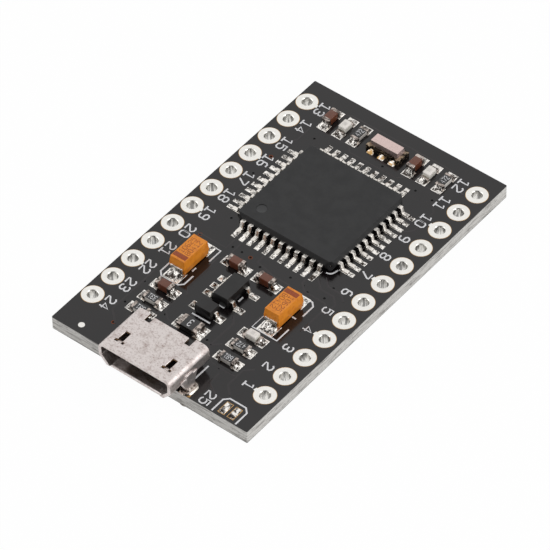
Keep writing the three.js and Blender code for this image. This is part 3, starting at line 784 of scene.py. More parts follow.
def fillet(start, outward, reach, width, rise, base=0.02, cells=8, bulge=2.0, seed=0):
    """Solder that climbs from a pad to a part's end: start is on the board under the end's middle."""
    part = bmesh.new()
    bmesh.ops.create_grid(part, x_segments=cells, y_segments=cells, size=0.5)
    for vert in part.verts:
        along = vert.co.x + 0.5
        across = abs(vert.co.y) * 2
        slope = (1 - along) ** bulge * (1 - across**4 * 0.75)
        ripple = noise.noise(Vector((along * 2.1 + seed, vert.co.y * 2.3, seed * 0.7)))
        vert.co.z = base + rise * max(0.0, slope + 0.12 * ripple * along * (1 - along) * 4)
    rim = [side for side in part.edges if side.is_boundary]
    skirt = bmesh.ops.extrude_edge_only(part, edges=rim)["geom"]
    for vert in skirt:
        if isinstance(vert, bmesh.types.BMVert):
            vert.co.z = 0.0
    bmesh.ops.holes_fill(part, edges=[side for side in part.edges if side.is_boundary], sides=0)
    bmesh.ops.translate(part, vec=(0.5, 0.0, 0.0), verts=part.verts)
    bmesh.ops.scale(part, vec=(reach, width, 1.0), verts=part.verts)
    turn = math.atan2(outward[1], outward[0])
    bmesh.ops.rotate(part, cent=(0, 0, 0), matrix=Matrix.Rotation(turn, 3, "Z"), verts=part.verts)
    bmesh.ops.translate(part, vec=start, verts=part.verts)
    return part


def land(centre, along, across, length_along, width, rise):
    """A tinned pad with soft edges; along and across are unit directions in the board's plane."""
    half = Vector(along) * length_along / 2 + Vector(across) * width / 2
    half = Vector((abs(half.x), abs(half.y), 0.0))
    return block(centre - half, centre + half + Vector((0, 0, rise)), rise * 0.6, 1)


AXES = (Vector((1.0, 0.0, 0.0)), Vector((0.0, 1.0, 0.0)))


def chip_joints(shape, low, high, axis, sizes, pad_reach=0.55, pad_width=1.0, climb=None, inward=0.3):
    """Pads and solder at both ends of a two-ended part."""
    along, across = AXES[axis], AXES[1 - axis]
    half = (high[axis] - low[axis]) / 2
    centre = Vector(((low.x + high.x) / 2, (low.y + high.y) / 2, FACE))
    rise = (high.z - low.z) * sizes.fillet_rise if climb is None else climb
    width = high[1 - axis] - low[1 - axis]
    for side in (-1, 1):
        pad_length = pad_reach + inward
        pad_centre = centre + along * side * (half + (pad_reach - inward) / 2)
        shape.take(land(pad_centre, along, across, pad_length, pad_width, sizes.pad_rise / MM), "land")
        start = centre + along * side * (half - 0.02)
        seed = start.x * 1.7 + start.y
        shape.take(fillet(start, along * side, pad_reach - 0.04, width * 0.98, rise,
                          sizes.pad_rise / MM, seed=seed), "solder")


class BoardOperator(bpy.types.Operator):
    """Common ground of the operators that add pieces."""

    bl_options = {"REGISTER", "UNDO"}

    @staticmethod
    def settings(context):
        scene = context.scene
        return scene.board_sizes, scene.board_colours, scene.board_studio


# Vias as places from the middle of the pin field: bare ones show a copper ring.
BARE_VIAS = [(-1.38, -3.0), (-6.25, -3.45), (-7.25, 7.05), (-5.6, -15.3)]
COVERED_VIAS = [
    (-5.7, 10.9), (0.75, 11.8), (4.6, 11.25), (6.35, 11.2), (-3.25, -2.95), (-2.3, -2.95),
    (2.57, -2.75), (3.95, -2.8), (4.65, -3.2), (6.15, -2.87), (6.05, -1.55), (-5.4, -0.47),
    (-0.1, -3.35), (-6.5, -10.3), (-7.2, 4.65), (-6.3, -13.0), (-2.85, -12.1), (1.55, -12.2),
    (4.25, -13.95),
]
FIDUCIAL = (-7.43, -17.1)
FIDUCIAL_RADIUS = 0.28


def leg_slots():
    """Middle of the slot for each of the receptacle's legs, on the component side."""
    low, high = extent("usb_shell")
    wall, leg_length, behind_edge = 0.3, 0.9, 0.8
    return [Vector((x, BOARD_LOW.y + behind_edge, FACE))
            for x in (low.x + wall / 2, high.x - wall / 2)], wall, leg_length


class BOARD_OT_boards(BoardOperator):
    """Make the two solder masks with round openings, and finish the laminate"""

    bl_idname = "board.boards"
    bl_label = "Solder masks"

    def execute(self, context):
        sizes, colours, _ = self.settings(context)
        pad = (extent(PIN_NODES[0])[1].x - extent(PIN_NODES[0])[0].x) / 2
        openings = [ring_points(middle(name).x, middle(name).y, pad + 0.04, 36) for name in PIN_NODES]
        slots, wall, leg_length = leg_slots()
        margin = 0.15
        for place in slots:
            openings.append(slot_points(place.x, place.y, wall + 2 * margin, leg_length + 2 * margin))
        drills = [ring_points(*spot(x, y).xy, sizes.via_land / MM, 16) for x, y in BARE_VIAS]
        drills += [ring_points(*spot(x, y).xy, sizes.via_hole / MM, 12) for x, y in COVERED_VIAS]
        for node, low, high in (("solder_mask_top", FACE - COAT, FACE), ("solder_mask_bottom", 0.0, COAT)):
            shape = Shape()
            shape.take(sheet([board_outline(), *openings, *drills], low, high), "mask")
            shape.piece(f"{node}_finished", [node], smooth=20)
        recolour("board_core", "laminate")
        return {"FINISHED"}


class BOARD_OT_vias(BoardOperator):
    """Add the vias and the fiducial dot"""

    bl_idname = "board.vias"
    bl_label = "Vias"

    def execute(self, context):
        sizes, _, _ = self.settings(context)
        hole, ring = sizes.via_hole / MM, sizes.via_land / MM
        shape = Shape()
        for top, low in ((FACE, FACE - COAT), (0.0, COAT)):
            lip = top + (0.004 if top else 0.0)
            for x, y in BARE_VIAS:
                place = spot(x, y)
                profile = [(ring, low), (ring, lip), (hole, lip), (hole, low)]
                shape.take(turned(profile, place.x, place.y, 20), "copper")
            for x, y in BARE_VIAS + COVERED_VIAS:
                place = spot(x, y)
                sign = 1 if top else -1
                # A near-black disc in each via's opening: painted shade for the depth of the hole.
                shape.take(disc(place.x, place.y, low + 0.002 * sign, hole, 12), "void")
        dot = spot(*FIDUCIAL)
        dome = [(0.0, FACE), (FIDUCIAL_RADIUS, FACE), (FIDUCIAL_RADIUS, FACE + 0.01),
                (FIDUCIAL_RADIUS * 0.7, FACE + 0.018), (0.0, FACE + 0.02)]
        shape.take(turned(dome, dot.x, dot.y, 24), "tin")
        shape.piece("vias_and_fiducial")
        return {"FINISHED"}


class BOARD_OT_pin_holes(BoardOperator):
    """Make the 24 plated pin holes with domed tin on both faces"""

    bl_idname = "board.pin_holes"
    bl_label = "Pin holes"

    def execute(self, context):
        sizes, _, _ = self.settings(context)
        dome = sizes.pin_dome / MM
        pad, bore, wall = 0.94, 0.45, 0.05
        for number, name in enumerate(PIN_NODES):
            place = middle(name)
            barrel = bore + wall
            profile = [
                (pad, FACE - COAT), (pad, FACE + dome * 0.15), (pad - 0.03, FACE + dome * 0.6),
                (pad - 0.12, FACE + dome), (barrel + 0.14, FACE + dome * 1.05),
                (barrel, FACE + dome * 0.6), (bore, FACE - 0.04), (bore, 0.04), (barrel, 0.0),
                (pad - 0.03, 0.0), (pad, 0.015), (pad, COAT), (barrel, COAT), (barrel, FACE - COAT),
            ]
            shape = Shape()

            def barrel_face(at, normal, place=place):
                return "bore" if (at.xy - place.xy).length < bore + 0.01 else None

            shape.take(turned(profile, place.x, place.y, 40), "tin", barrel_face)
            foot = FACE - COAT
            rim = [(pad - 0.02, foot), (pad + 0.038, foot), (pad + 0.034, FACE - 0.006),
                   (pad - 0.02, FACE - 0.004)]
            shape.take(turned(rim, place.x, place.y, 40), "gilt")
            if number % 3 == 0:
                start = place + Vector((math.copysign(pad - 0.1, -place.x), 0.0, 0.0))
                start.z = FACE
                outward = (math.copysign(1.0, -place.x), 0.25)
                shape.take(fillet(start, outward, 0.22, 0.34, 0.008, 0.012, 4, 1.0, number), "tin")
            shape.piece(f"{name}_finished", [name], smooth=40)
        return {"FINISHED"}


class BOARD_OT_traces(BoardOperator):
    """Add the copper lines that show as low ridges under the mask"""

    bl_idname = "board.traces"
    bl_label = "Covered copper lines"

    def execute(self, context):
        sizes, _, _ = self.settings(context)
        width, rise = sizes.trace_line / MM, sizes.trace_rise / MM
        runs = [
            [(-6.3, 13.9), (-4.9, 14.9), (5.6, 14.9), (8.0, 13.2)],
            [(-6.0, 12.0), (-3.0, 12.0), (-2.4, 11.4), (2.4, 11.4), (3.2, 12.1), (6.6, 12.1)],
            [(-7.3, 9.2), (-6.7, 9.9), (-6.7, 11.6)],
            [(6.7, 6.9), (7.3, 7.5), (7.3, 10.2), (6.5, 11.0)],
            [(4.9, -0.9), (5.6, -1.7), (6.9, -1.7), (7.6, -2.3)],
            [(4.4, -1.4), (5.3, -2.3), (6.6, -2.3), (7.3, -2.9), (7.3, -4.3)],
            [(3.7, -2.1), (3.7, -2.6), (4.4, -3.3), (6.5, -3.3), (6.9, -3.8), (6.9, -6.9)],
            [(-0.6, -2.2), (-0.6, -3.0), (1.3, -3.5), (3.0, -3.5), (3.4, -3.9), (3.4, -8.9)],
            [(-2.9, -2.2), (-2.9, -4.1), (-3.4, -4.7), (-3.4, -8.7), (-2.8, -9.4)],
            [(-3.6, -2.2), (-3.6, -3.4), (-6.6, -3.4), (-7.0, -3.8), (-7.0, -6.6)],
            [(1.6, -8.9), (2.1, -9.5), (2.1, -12.6), (3.3, -13.9), (5.8, -13.9)],
            [(-3.2, -9.6), (-3.2, -11.6), (-2.4, -12.4), (2.2, -12.4), (2.8, -11.8)],
            [(-6.6, -8.8), (-6.6, -14.2), (-5.4, -15.3)],
            [(4.6, -14.4), (4.6, -15.6), (5.8, -16.4), (6.4, -16.4)],
            [(6.6, -12.4), (5.9, -13.0), (5.9, -14.9), (6.7, -15.7)],
        ]
        shape = Shape()
        for run in runs:
            shape.take(stroke(bracket(run), width, rise), "raised_mask")
        shape.piece("covered_copper", smooth=60)
        return {"FINISHED"}


class BOARD_OT_legend(BoardOperator):
    """Print the lines and plain numerals on the component side"""

    bl_idname = "board.legend"
    bl_label = "Legend"

    def execute(self, context):
        sizes, _, _ = self.settings(context)
        width, rise = sizes.ink_line / MM, sizes.ink / MM
        shape = Shape()
        for number, name in enumerate(PIN_NODES, 1):
            place = middle(name)
            x = 7.2 if place.x > 0 else -7.3
            where = Vector((PIN_FIELD.x + x, place.y, FACE + rise / 2))
            shape.take(numerals(str(number), sizes.numeral / MM, where, -90, rise), "legend")
        lines = [
            [(-3.75, -5.4), (-3.75, -3.9), (-5.9, -3.9), (-6.2, -4.2), (-6.2, -5.4)],
            [(-6.2, -7.45), (-6.2, -8.6), (-5.85, -8.95), (-4.1, -8.95), (-3.75, -8.6), (-3.75, -7.45)],
            [(-4.15, -6.6), (-4.15, -7.1)],
            [(3.45, -5.5), (3.45, -3.8), (5.65, -3.8), (6.0, -4.15), (6.0, -5.5)],
            [(3.45, -7.3), (3.45, -8.85), (6.0, -8.85), (6.0, -7.3)],
            [(5.35, -6.05), (5.75, -6.05)],
            [(-1.35, -5.4), (-1.35, -6.0)],
            [(0.9, -6.8), (0.9, -7.4)],
            [(-0.15, -8.65), (0.45, -8.65)],
            [(-1.25, -10.65), (0.6, -10.65)],
            [(3.4, -14.3), (3.4, -16.2)],
            [(-3.4, -14.3), (-3.4, -16.2)],
        ]
        for line in lines:
            shape.take(stroke(bracket(line), width, rise), "legend")
        corner = [(4.5, -0.55), (4.85, -0.5), (5.05, -0.15), (5.1, 0.25)]
        shape.take(stroke(bracket(corner), width, rise, smooth=True), "legend")
        jumper = [(6.55, -17.8), (6.55, -16.35), (6.95, -15.95), (8.55, -15.95), (8.95, -16.35),
                  (8.95, -17.8)]
        shape.take(stroke(bracket(jumper), width, rise), "legend")
        where = spot(5.5, -17.0, rise / 2)
        shape.take(numerals("25", 0.85, where, -90, rise), "legend")
        shape.piece("legend", smooth=50)
        return {"FINISHED"}


class BOARD_OT_jumper(BoardOperator):
    """Add the two pads of the open solder jumper"""

    bl_idname = "board.jumper"
    bl_label = "Solder jumper"

    def execute(self, context):
        sizes, _, _ = self.settings(context)
        rise = sizes.pad_rise / MM
        shape = Shape()
        for x in (7.3, 8.22):
            low, high = spot(x - 0.28, -17.55), spot(x + 0.28, -16.35)
            rim = Vector((0.05, 0.05, 0.0))
            shape.take(block(low - rim, high + rim + Vector((0, 0, 0.008)), 0.004, 1), "gilt")
            shape.take(block(low, high + Vector((0, 0, rise)), rise * 0.6, 1), "solder")
            swell = spot(x, -17.35)
            shape.take(fillet(swell, (0, 1), 0.8, 0.46, 0.06, rise, 6, 0.8, x), "solder")
        shape.piece("solder_jumper_pads")
        return {"FINISHED"}


class BOARD_OT_receptacle(BoardOperator):
    """Finish the micro USB receptacle: shell, block, contacts and soldered legs"""

    bl_idname = "board.receptacle"
    bl_label = "USB receptacle"

    def execute(self, context):
        sizes, _, _ = self.settings(context)
        low, high = extent("usb_shell")
        centre = (low + high) / 2
        wall = 0.3

        def sheared(place, normal):
            if place.z > high.z - wall - 0.02 and abs(normal.z) < 0.3 and abs(place.x - centre.x) < 3.1:
                return "cut_steel"
            return None

        shape = Shape()
        shape.take(cad_copy("usb_shell", sizes.shell_edge / MM, 2), "shell", sheared)
        for side in (LEFT, RIGHT):
            start = Vector((centre.x + side * 2.4, low.y + 1.02, high.z - 0.05))
            tongue = block(start - Vector((0.2, 0.0, 0.12)), start + Vector((0.2, 0.42, 0.0)), 0.04)
            for vert in tongue.verts:
                vert.co.z -= 0.45 * max(0.0, vert.co.y - start.y)
            shape.take(tongue, "shell")
        slots, leg_wall, leg_length = leg_slots()
        for place in slots:
            inward = math.copysign(0.13, centre.x - place.x)
            foot = Vector((leg_wall / 2 + 0.09, leg_length / 2 + 0.03, 0.0))
            web_low, web_high = FACE + 0.2, FACE + 1.5
            web = block(Vector((*place.xy, web_low)) - foot, Vector((*place.xy, web_high)) + foot, 0.08, 3)
            for vert in web.verts:
                share = (vert.co.z - web_low) / (web_high - web_low)
                vert.co.x += inward * share
                vert.co.y = place.y + (vert.co.y - place.y) * (1 + 1.3 * share**2)
            shape.take(web, "shell")
        shape.piece("usb_shell_finished", ["usb_shell"], smooth=32)

        joints = Shape()
        for place in slots:
            for sign in (1, -1):
                ring = slot_points(place.x, place.y, leg_wall + 0.55, leg_length + 0.5)
                path = [(x, y, FACE if sign > 0 else 0.02) for x, y in ring]
                rise = 0.14 if sign > 0 else 0.018
                joints.take(stroke(path, 0.4, rise, closed=True), "leg_solder")
            outward = math.copysign(1.0, place.x - centre.x)
            apron = Vector((place.x + outward * 0.1, BOARD_LOW.y + 0.02, FACE))
            joints.take(block(apron - Vector((0.55, 0.0, 0.0)), apron + Vector((0.55, 0.3, 0.012)), 0.006, 1),
                        "gilt")
            foot = Vector((place.x, place.y, FACE))
            for direction in ((outward, 0.0), (0.0, 1.0)):
                joints.take(fillet(foot, direction, 0.42, 0.6, 0.42, 0.02, seed=place.x), "leg_solder")
        joints.piece("usb_leg_solder")

        tails = Shape()
        rear = extent("usb_contacts")[1].y
        contacts = middle("usb_contacts")
        for i in range(5):
            x = contacts.x + (i - 2) * 0.65
            pad = Vector((x, rear - 0.05, FACE))
            tails.take(land(pad, AXES[1], AXES[0], 1.0, 0.4, sizes.pad_rise / MM), "tin")
            tails.take(fillet(Vector((x, rear - 0.03, FACE)), (0, 1), 0.42, 0.36, 0.1, 0.025, 5, seed=i),
                       "solder")
        tails.piece("usb_contact_solder")
        recolour("usb_insulator", "small_moulding")
        recolour("usb_contacts", "contact")
        return {"FINISHED"}


class BOARD_OT_controller(BoardOperator):
    """Finish the microcontroller, its leads, and the solder under them"""

    bl_idname = "board.controller"
    bl_label = "Microcontroller"

    def execute(self, context):
        sizes, _, _ = self.settings(context)
        low, high = extent("mcu_body")
        parting = (low.z + high.z) / 2
        dimple = Vector((low.x + 1.57, low.y + 1.57, high.z - 0.08))

        def dimple_floor(place, normal):
            return "dimple" if (place - dimple).length < 0.3 else None

        dress("mcu_body", "moulding", sizes.moulding_edge / MM, 3, 12,
              where=lambda place: place.z > parting + 0.2, chosen=dimple_floor)
        sides = {"right": (1, 0), "rear": (0, 1), "left": (-1, 0), "front": (0, -1)}
        pitch, pins, reach = 0.8, 11, 6.0
        rise = sizes.pad_rise / MM
        for name, outward in sides.items():
            dress(f"mcu_leads_{name}", "lead", sizes.lead_edge / MM, smooth=50)
            along, across = Vector((*outward, 0.0)), Vector((-outward[1], outward[0], 0.0))
            joints = Shape()
            for pin in range(pins):
                foot = MCU + along * reach + across * (pin - (pins - 1) / 2) * pitch
                foot.z = FACE
                joints.take(land(foot - along * 0.15, along, across, 1.4, 0.42, rise), "land")
                joints.take(fillet(foot - along * 0.03, outward, 0.53, 0.4, 0.11, rise, 8, 2.4, pin * 1.3),
                            "solder")
                heel = foot - along * 0.62
                joints.take(fillet(heel, (-outward[0], -outward[1]), 0.16, 0.36, 0.12, rise, 4, 1.6, pin),
                            "solder")
            joints.piece(f"mcu_solder_{name}")
        recolour("mcu_paddle", "lead")
        recolour("mcu_die", "silicon")
        return {"FINISHED"}


class BOARD_OT_tantalums(BoardOperator):
    """Finish the two tantalum capacitors with their stripes, numerals and solder"""

    bl_idname = "board.tantalums"
    bl_label = "Tantalum capacitors"

    def execute(self, context):
        sizes, _, _ = self.settings(context)
        for side, stripe_end in (("left", -1), ("right", 1)):
            name = f"tantalum_{side}"
            low, high = extent(f"{name}_body")
            centre = (low + high) / 2
            dress(f"{name}_body", "resin", 0.09, 3, 12, smooth=32)
            dress(f"{name}_terminals", "lead", sizes.lead_edge / MM, smooth=50)

            top = high.z + 0.002
            stripe = centre + Vector((0.0, stripe_end * 1.07, 0.0))
            marking = Shape()
            marking.take(block((stripe.x - 0.66, stripe.y - 0.24, high.z - 0.01),
                               (stripe.x + 0.66, stripe.y + 0.24, top), 0.002, 1), "marking")
            for row, text in ((0.3, "10625"), (-0.3, "80412")):
                place = Vector((centre.x + row * stripe_end, centre.y - stripe_end * 0.22, top - 0.004))
                marking.take(numerals(text, 0.44, place, -90 * stripe_end, 0.008, 0.15, 0.92), "marking")
            marking.piece(f"{name}_marking", smooth=50)

            joints = Shape()
            feet_low, feet_high = extent(f"{name}_terminals")
            for end in (-1, 1):
                tip = feet_high.y if end > 0 else feet_low.y
                pad = Vector((centre.x, tip + end * 0.2, FACE))
                joints.take(land(pad, AXES[1], AXES[0], 1.35, 1.6, sizes.pad_rise / MM), "land")
                start = Vector((centre.x, tip - end * 0.03, FACE))
                joints.take(fillet(start, (0, end), 0.78, 1.3, 0.42, 0.025, 10, 2.0, centre.x + end),
                            "solder")
            joints.piece(f"{name}_solder")
        return {"FINISHED"}


class BOARD_OT_regulator(BoardOperator):
    """Finish the voltage regulator and the diode with their solder"""

    bl_idname = "board.regulator"
    bl_label = "Regulator and diode"

    def execute(self, context):
        sizes, _, _ = self.settings(context)
        centre = middle("regulator_body")
        dress("regulator_body", "small_moulding", sizes.moulding_edge / MM, 2, 12,
              where=lambda place: place.z > middle("regulator_body").z + 0.2)
        dress("regulator_leads", "lead", sizes.lead_edge / MM, smooth=50)
        low, high = extent("regulator_leads")
        rise = sizes.pad_rise / MM
        joints = Shape()
        for side, offsets in ((LEFT, (-1, 0, 1)), (RIGHT, (-1, 1))):
            tip = high.x if side > 0 else low.x
            for offset in offsets:
                foot = Vector((tip, centre.y + offset * 0.95, FACE))
                pad = foot + Vector((side * 0.05, 0, 0))
                joints.take(land(pad, *AXES, 0.85, 0.6, rise), "land")
                joints.take(fillet(foot - Vector((side * 0.03, 0, 0)), (side, 0), 0.42, 0.5, 0.2, rise, 7,
                                   1.7, offset + side * 3), "solder")
        joints.piece("regulator_solder")

        low, high = extent("diode")
        centre = (low + high) / 2
        half = 0.85

        def lead_face(place, normal):
            return "lead" if abs(place.x - centre.x) > half + 0.003 else None

        dress("diode", "small_moulding", 0.04, 2, 25, 35, chosen=lead_face)
        joints = Shape()
        for side, tip in ((LEFT, low.x), (RIGHT, high.x)):
            foot = Vector((tip, centre.y, FACE))
            joints.take(land(foot, *AXES, 0.75, 0.8, rise), "land")
            joints.take(fillet(foot - Vector((side * 0.04, 0, 0)), (side, 0), 0.38, 0.66, 0.2, rise, 7, 1.7,
                               side * 2.2), "solder")
        joints.piece("diode_solder")
        return {"FINISHED"}


def long_axis(low, high):
    return 0 if high.x - low.x > high.y - low.y else 1


def end_caps(shape, low, high, axis, cap, edge):
    """The two metal ends of a chip part."""
    for side in (-1, 1):
        first, last = low.copy(), high.copy()
        if side > 0:
            first[axis] = high[axis] - cap
        else:
            last[axis] = low[axis] + cap
        shape.take(block(first, last, edge, 3), "termination")


def shrunk(low, high, axis, ends, sides):
    """A smaller box inside a part's box."""
    inset = Vector((sides, sides, sides))
    inset[axis] = ends
    return low + Vector((inset.x, inset.y, 0.02)), high - inset


class BOARD_OT_capacitors(BoardOperator):
    """Make the five ceramic chip capacitors"""

    bl_idname = "board.capacitors"
    bl_label = "Ceramic capacitors"

    def execute(self, context):
        sizes, _, _ = self.settings(context)
        for name in sorted(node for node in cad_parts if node.startswith("capacitor_")):
            low, high = extent(name)
            axis = long_axis(low, high)
            shape = Shape()
            shape.take(block(*shrunk(low, high, axis, 0.1, 0.03), 0.05, 3), "ceramic")
            end_caps(shape, low, high, axis, 0.36, 0.1)
            chip_joints(shape, low, high, axis, sizes)
            shape.piece(f"{name}_finished", [name])
        return {"FINISHED"}


class BOARD_OT_resistors(BoardOperator):
    """Make the six chip resistors and the fuse, with plain numerals"""

    bl_idname = "board.resistors"
    bl_label = "Resistors and fuse"

    def execute(self, context):
        sizes, _, _ = self.settings(context)
        marks = {
            "resistor_usb_data_1": "331", "resistor_usb_data_2": "331", "resistor_power_led": "472",
            "resistor_pull_up": "681", "resistor_led_left": "472", "resistor_led_right": "472", "fuse": "3",
        }
        for name, mark in marks.items():
            low, high = extent(name)
            axis = long_axis(low, high)
            cap = 0.42 if name == "fuse" else 0.3
            shape = Shape()
            shape.take(block(*shrunk(low, high, axis, 0.08, 0.02), 0.02, 2),
                       "film" if name == "fuse" else "alumina")
            glaze_low, glaze_high = shrunk(low, high, axis, cap - 0.06, 0.035)
            glaze_low.z = high.z - 0.1
            glaze_high.z = high.z - 0.002
            shape.take(block(glaze_low, glaze_high, 0.02, 2), "film")
            end_caps(shape, low, high, axis, cap, 0.035)
            centre = (low + high) / 2
            centre.z = high.z + 0.001
            turn = 90 if axis else 180
            height = 0.7 if name == "fuse" else 0.46
            shape.take(numerals(mark, height, centre, turn, 0.008, 0.14, 0.62), "legend")
            wide = high[1 - axis] - low[1 - axis]
            chip_joints(shape, low, high, axis, sizes, 0.5, wide + 0.2, (high.z - low.z) * 0.95)
            shape.piece(f"{name}_finished", [name])
        return {"FINISHED"}


class BOARD_OT_leds(BoardOperator):
    """Make the three chip light-emitting diodes"""

    bl_idname = "board.leds"
    bl_label = "Light-emitting diodes"

    def execute(self, context):
        sizes, _, _ = self.settings(context)
        for name in sorted(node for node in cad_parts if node.startswith("led_")):
            low, high = extent(name)
            axis = long_axis(low, high)
            base_top = FACE + 0.22
            shape = Shape()
            base_low, base_high = shrunk(low, high, axis, 0.06, 0.02)
            base_high.z = base_top
            shape.take(block(base_low, base_high, 0.02, 2), "alumina")
            cap_high = high.copy()
            cap_high.z = base_top + 0.01
            end_caps(shape, low, cap_high, axis, 0.3, 0.03)
            lens_low, lens_high = shrunk(low, high, axis, 0.3, 0.04)
            lens_low.z = base_top - 0.02
            lens_high.z = high.z
            shape.take(block(lens_low, lens_high, 0.09, 3), "lens")
            window = (lens_low + lens_high) / 2
            window.z = lens_high.z
            reach = Vector((0.17, 0.17, 0.003))
            shape.take(block(window - reach, window + reach, 0.002, 1), "lens_window")
            chip_joints(shape, low, high, axis, sizes, 0.52, 1.0, 0.26)
            shape.piece(f"{name}_finished", [name])
        return {"FINISHED"}


class BOARD_OT_resonator(BoardOperator):
    """Finish the ceramic resonator and its six solder spots"""

    bl_idname = "board.resonator"
    bl_label = "Resonator"

    def execute(self, context):
        sizes, _, _ = self.settings(context)
        low, high = extent("resonator")
        centre = (low + high) / 2
        base_top = FACE + 0.5

        def lid_face(place, normal):
            return "lid" if place.z > base_top + 0.012 else None

        shape = Shape()
        shape.take(cad_copy("resonator", 0.035, 2, 20), "resonator_base", lid_face)
        rise = sizes.pad_rise / MM
        for side, edge in ((-1, low.y), (1, high.y)):
            for column in (-1.1, 0.0, 1.1):
                start = Vector((centre.x + column, edge, FACE))
                pad = start + Vector((0, side * 0.08, 0))
                shape.take(land(pad, AXES[1], AXES[0], 0.5, 0.6, rise), "gilt_solder")
                shape.take(fillet(start - Vector((0, side * 0.1, 0)), (0, side), 0.34, 0.62, 0.2, rise, 7,
                                  1.2, column * 3 + side), "gilt_solder")
        shape.piece("resonator_finished", ["resonator"], smooth=35)
        return {"FINISHED"}


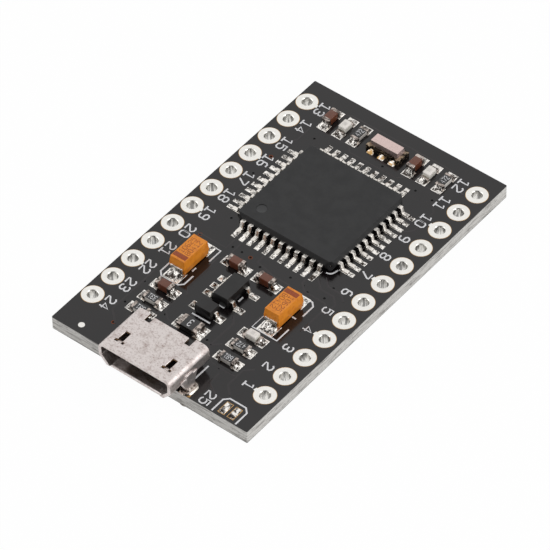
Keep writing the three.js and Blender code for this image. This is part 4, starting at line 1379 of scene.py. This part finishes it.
class BOARD_OT_studio(BoardOperator):
    """Set up the floor, the surroundings, the lamps and the camera"""

    bl_idname = "board.studio"
    bl_label = "Studio"

    def execute(self, context):
        _, _, studio = self.settings(context)
        scene = context.scene
        scene.view_settings.view_transform = "Standard"
        self.add_floor(scene, studio)
        self.add_surroundings(scene, studio)
        centre = (CAD_BOX[0] + CAD_BOX[1]) / 2
        self.add_lamp(scene, "key_lamp", centre, (0.86, 0.12, 0.46), 0.62, 0.5, studio.key)
        self.add_lamp(scene, "fill_lamp", centre, (-0.8, -0.42, 0.45), 0.62, 0.5, studio.fill)
        self.add_flag(scene, centre)
        self.add_camera(scene, studio)
        return {"FINISHED"}

    @staticmethod
    def add_flag(scene, target):
        """A black card beyond the camera that only polished metal sees."""
        mesh = bpy.data.meshes.new("flag")
        part = bmesh.new()
        bmesh.ops.create_grid(part, x_segments=1, y_segments=1, size=0.36)
        part.to_mesh(mesh)
        part.free()
        card = bpy.data.materials.new("black_card")
        tree = Tree(card)
        black = tree.node("ShaderNodeEmission", None, {"Color": (0.035, 0.033, 0.032, 1.0)})
        tree.feed(tree.nodes["Material Output"].inputs["Surface"], black)
        mesh.materials.append(card)
        flag = bpy.data.objects.new("flag", mesh)
        scene.collection.objects.link(flag)
        away = Vector((0.5, -0.62, 0.5)).normalized()
        flag.location = target + away * 0.46
        flag.rotation_euler = away.to_track_quat("Z", "Y").to_euler()
        for kind in ("camera", "diffuse", "transmission", "volume_scatter", "shadow"):
            setattr(flag, f"visible_{kind}", False)

    @staticmethod
    def add_floor(scene, studio):
        """White paper under the board, which is clear from below so that the underside can be seen."""
        mesh = bpy.data.meshes.new("floor")
        part = bmesh.new()
        bmesh.ops.create_grid(part, x_segments=1, y_segments=1, size=2.0)
        part.to_mesh(mesh)
        part.free()
        floor = bpy.data.objects.new("floor", mesh)
        scene.collection.objects.link(floor)
        paper = bpy.data.materials.new("paper")
        tree = Tree(paper)
        matt = tree.node("ShaderNodeBsdfDiffuse", None, {"Color": (0.97, 0.97, 0.97, 1.0)})
        glow = tree.node("ShaderNodeEmission", None, {"Strength": 1.0})
        place = tree.node("ShaderNodeTexCoord", output="Object")
        low, high = CAD_BOX
        under = 1.0
        for axis in range(2):
            along = tree.node("ShaderNodeSeparateXYZ", None, {0: place}, axis)
            half = (high[axis] - low[axis]) / 2 - studio.floor_inset
            offset = along - (high[axis] + low[axis]) / 2
            away = tree.node("ShaderNodeMath", {"operation": "ABSOLUTE"}, {0: offset})
            under = (away < half) * under
        reflected = tree.seen_by("Glossy") | tree.seen_by("Transmission")
        share = (tree.seen_by("Camera") * (1 - under) | reflected) * studio.floor_glow
        upper = tree.node("ShaderNodeMixShader", None, {0: share, 1: matt, 2: glow})
        below = tree.node("ShaderNodeNewGeometry", output="Backfacing")
        clear = tree.node("ShaderNodeBsdfTransparent")
        mixed = tree.node("ShaderNodeMixShader", None, {0: below, 1: upper, 2: clear})
        tree.feed(tree.nodes["Material Output"].inputs["Surface"], mixed)
        mesh.materials.append(paper)
        floor.location.z = -FLOOR_GAP

    @staticmethod
    def add_surroundings(scene, studio):
        world = bpy.data.worlds.new("surroundings")
        scene.world = world
        tree = Tree(world)
        strength = studio.ambient + tree.seen_directly() * (1 - studio.ambient)
        tree.feed(tree.nodes["Background"].inputs["Color"], (1.0, 1.0, 1.0, 1.0))
        tree.feed(tree.nodes["Background"].inputs["Strength"], strength)

    @staticmethod
    def add_lamp(scene, name, target, direction, distance, size, power):
        lamp = bpy.data.lights.new(name, "AREA")
        lamp.shape = "SQUARE"
        lamp.size = size
        lamp.energy = power
        holder = bpy.data.objects.new(name, lamp)
        scene.collection.objects.link(holder)
        away = Vector(direction).normalized()
        holder.location = target + away * distance
        holder.rotation_euler = away.to_track_quat("Z", "Y").to_euler()

    @staticmethod
    def add_camera(scene, studio):
        lens = bpy.data.cameras.new("camera")
        lens.sensor_width = 36.0
        lens.lens = studio.lens
        lens.clip_start = 0.01
        lens.clip_end = 20.0
        holder = bpy.data.objects.new("camera", lens)
        scene.collection.objects.link(holder)
        level = math.cos(studio.elevation)
        back = Vector((math.sin(studio.azimuth) * level, -math.cos(studio.azimuth) * level,
                       math.sin(studio.elevation)))
        right = Vector((math.cos(studio.azimuth), math.sin(studio.azimuth), 0.0))
        turn = Matrix.Rotation(-studio.roll, 3, back)
        right = turn @ right
        up = back.cross(right)
        axes = Matrix((right, up, back)).transposed().to_4x4()
        holder.matrix_world = Matrix.Translation(studio.camera_place) @ axes
        scene.camera = holder


STEPS = (
    BOARD_OT_studio,
    BOARD_OT_boards,
    BOARD_OT_vias,
    BOARD_OT_pin_holes,
    BOARD_OT_traces,
    BOARD_OT_legend,
    BOARD_OT_jumper,
    BOARD_OT_receptacle,
    BOARD_OT_controller,
    BOARD_OT_tantalums,
    BOARD_OT_regulator,
    BOARD_OT_capacitors,
    BOARD_OT_resistors,
    BOARD_OT_leds,
    BOARD_OT_resonator,
)


class BOARD_PT_pieces(bpy.types.Panel):
    """Lists the board's steps and settings"""

    bl_label = "Microcontroller board"
    bl_idname = "BOARD_PT_pieces"
    bl_space_type = "VIEW_3D"
    bl_region_type = "UI"
    bl_category = "Board"

    def draw(self, context):
        for step in STEPS:
            self.layout.operator(step.bl_idname)
        for group in (context.scene.board_sizes, context.scene.board_colours, context.scene.board_studio):
            box = self.layout.box()
            for name in group.__annotations__:
                box.prop(group, name)


CLASSES = (BoardSizes, BoardColours, StudioSettings, *STEPS, BOARD_PT_pieces)


def register():
    for each in CLASSES:
        bpy.utils.register_class(each)
    bpy.types.Scene.board_sizes = bpy.props.PointerProperty(type=BoardSizes)
    bpy.types.Scene.board_colours = bpy.props.PointerProperty(type=BoardColours)
    bpy.types.Scene.board_studio = bpy.props.PointerProperty(type=StudioSettings)


def unregister():
    del bpy.types.Scene.board_studio
    del bpy.types.Scene.board_colours
    del bpy.types.Scene.board_sizes
    for each in reversed(CLASSES):
        bpy.utils.unregister_class(each)


def main():
    register()
    make_finishes(bpy.context.scene.board_colours)
    for step in STEPS:
        group, name = step.bl_idname.split(".")
        getattr(getattr(bpy.ops, group), name)()


if __name__ == "__main__":
    main()
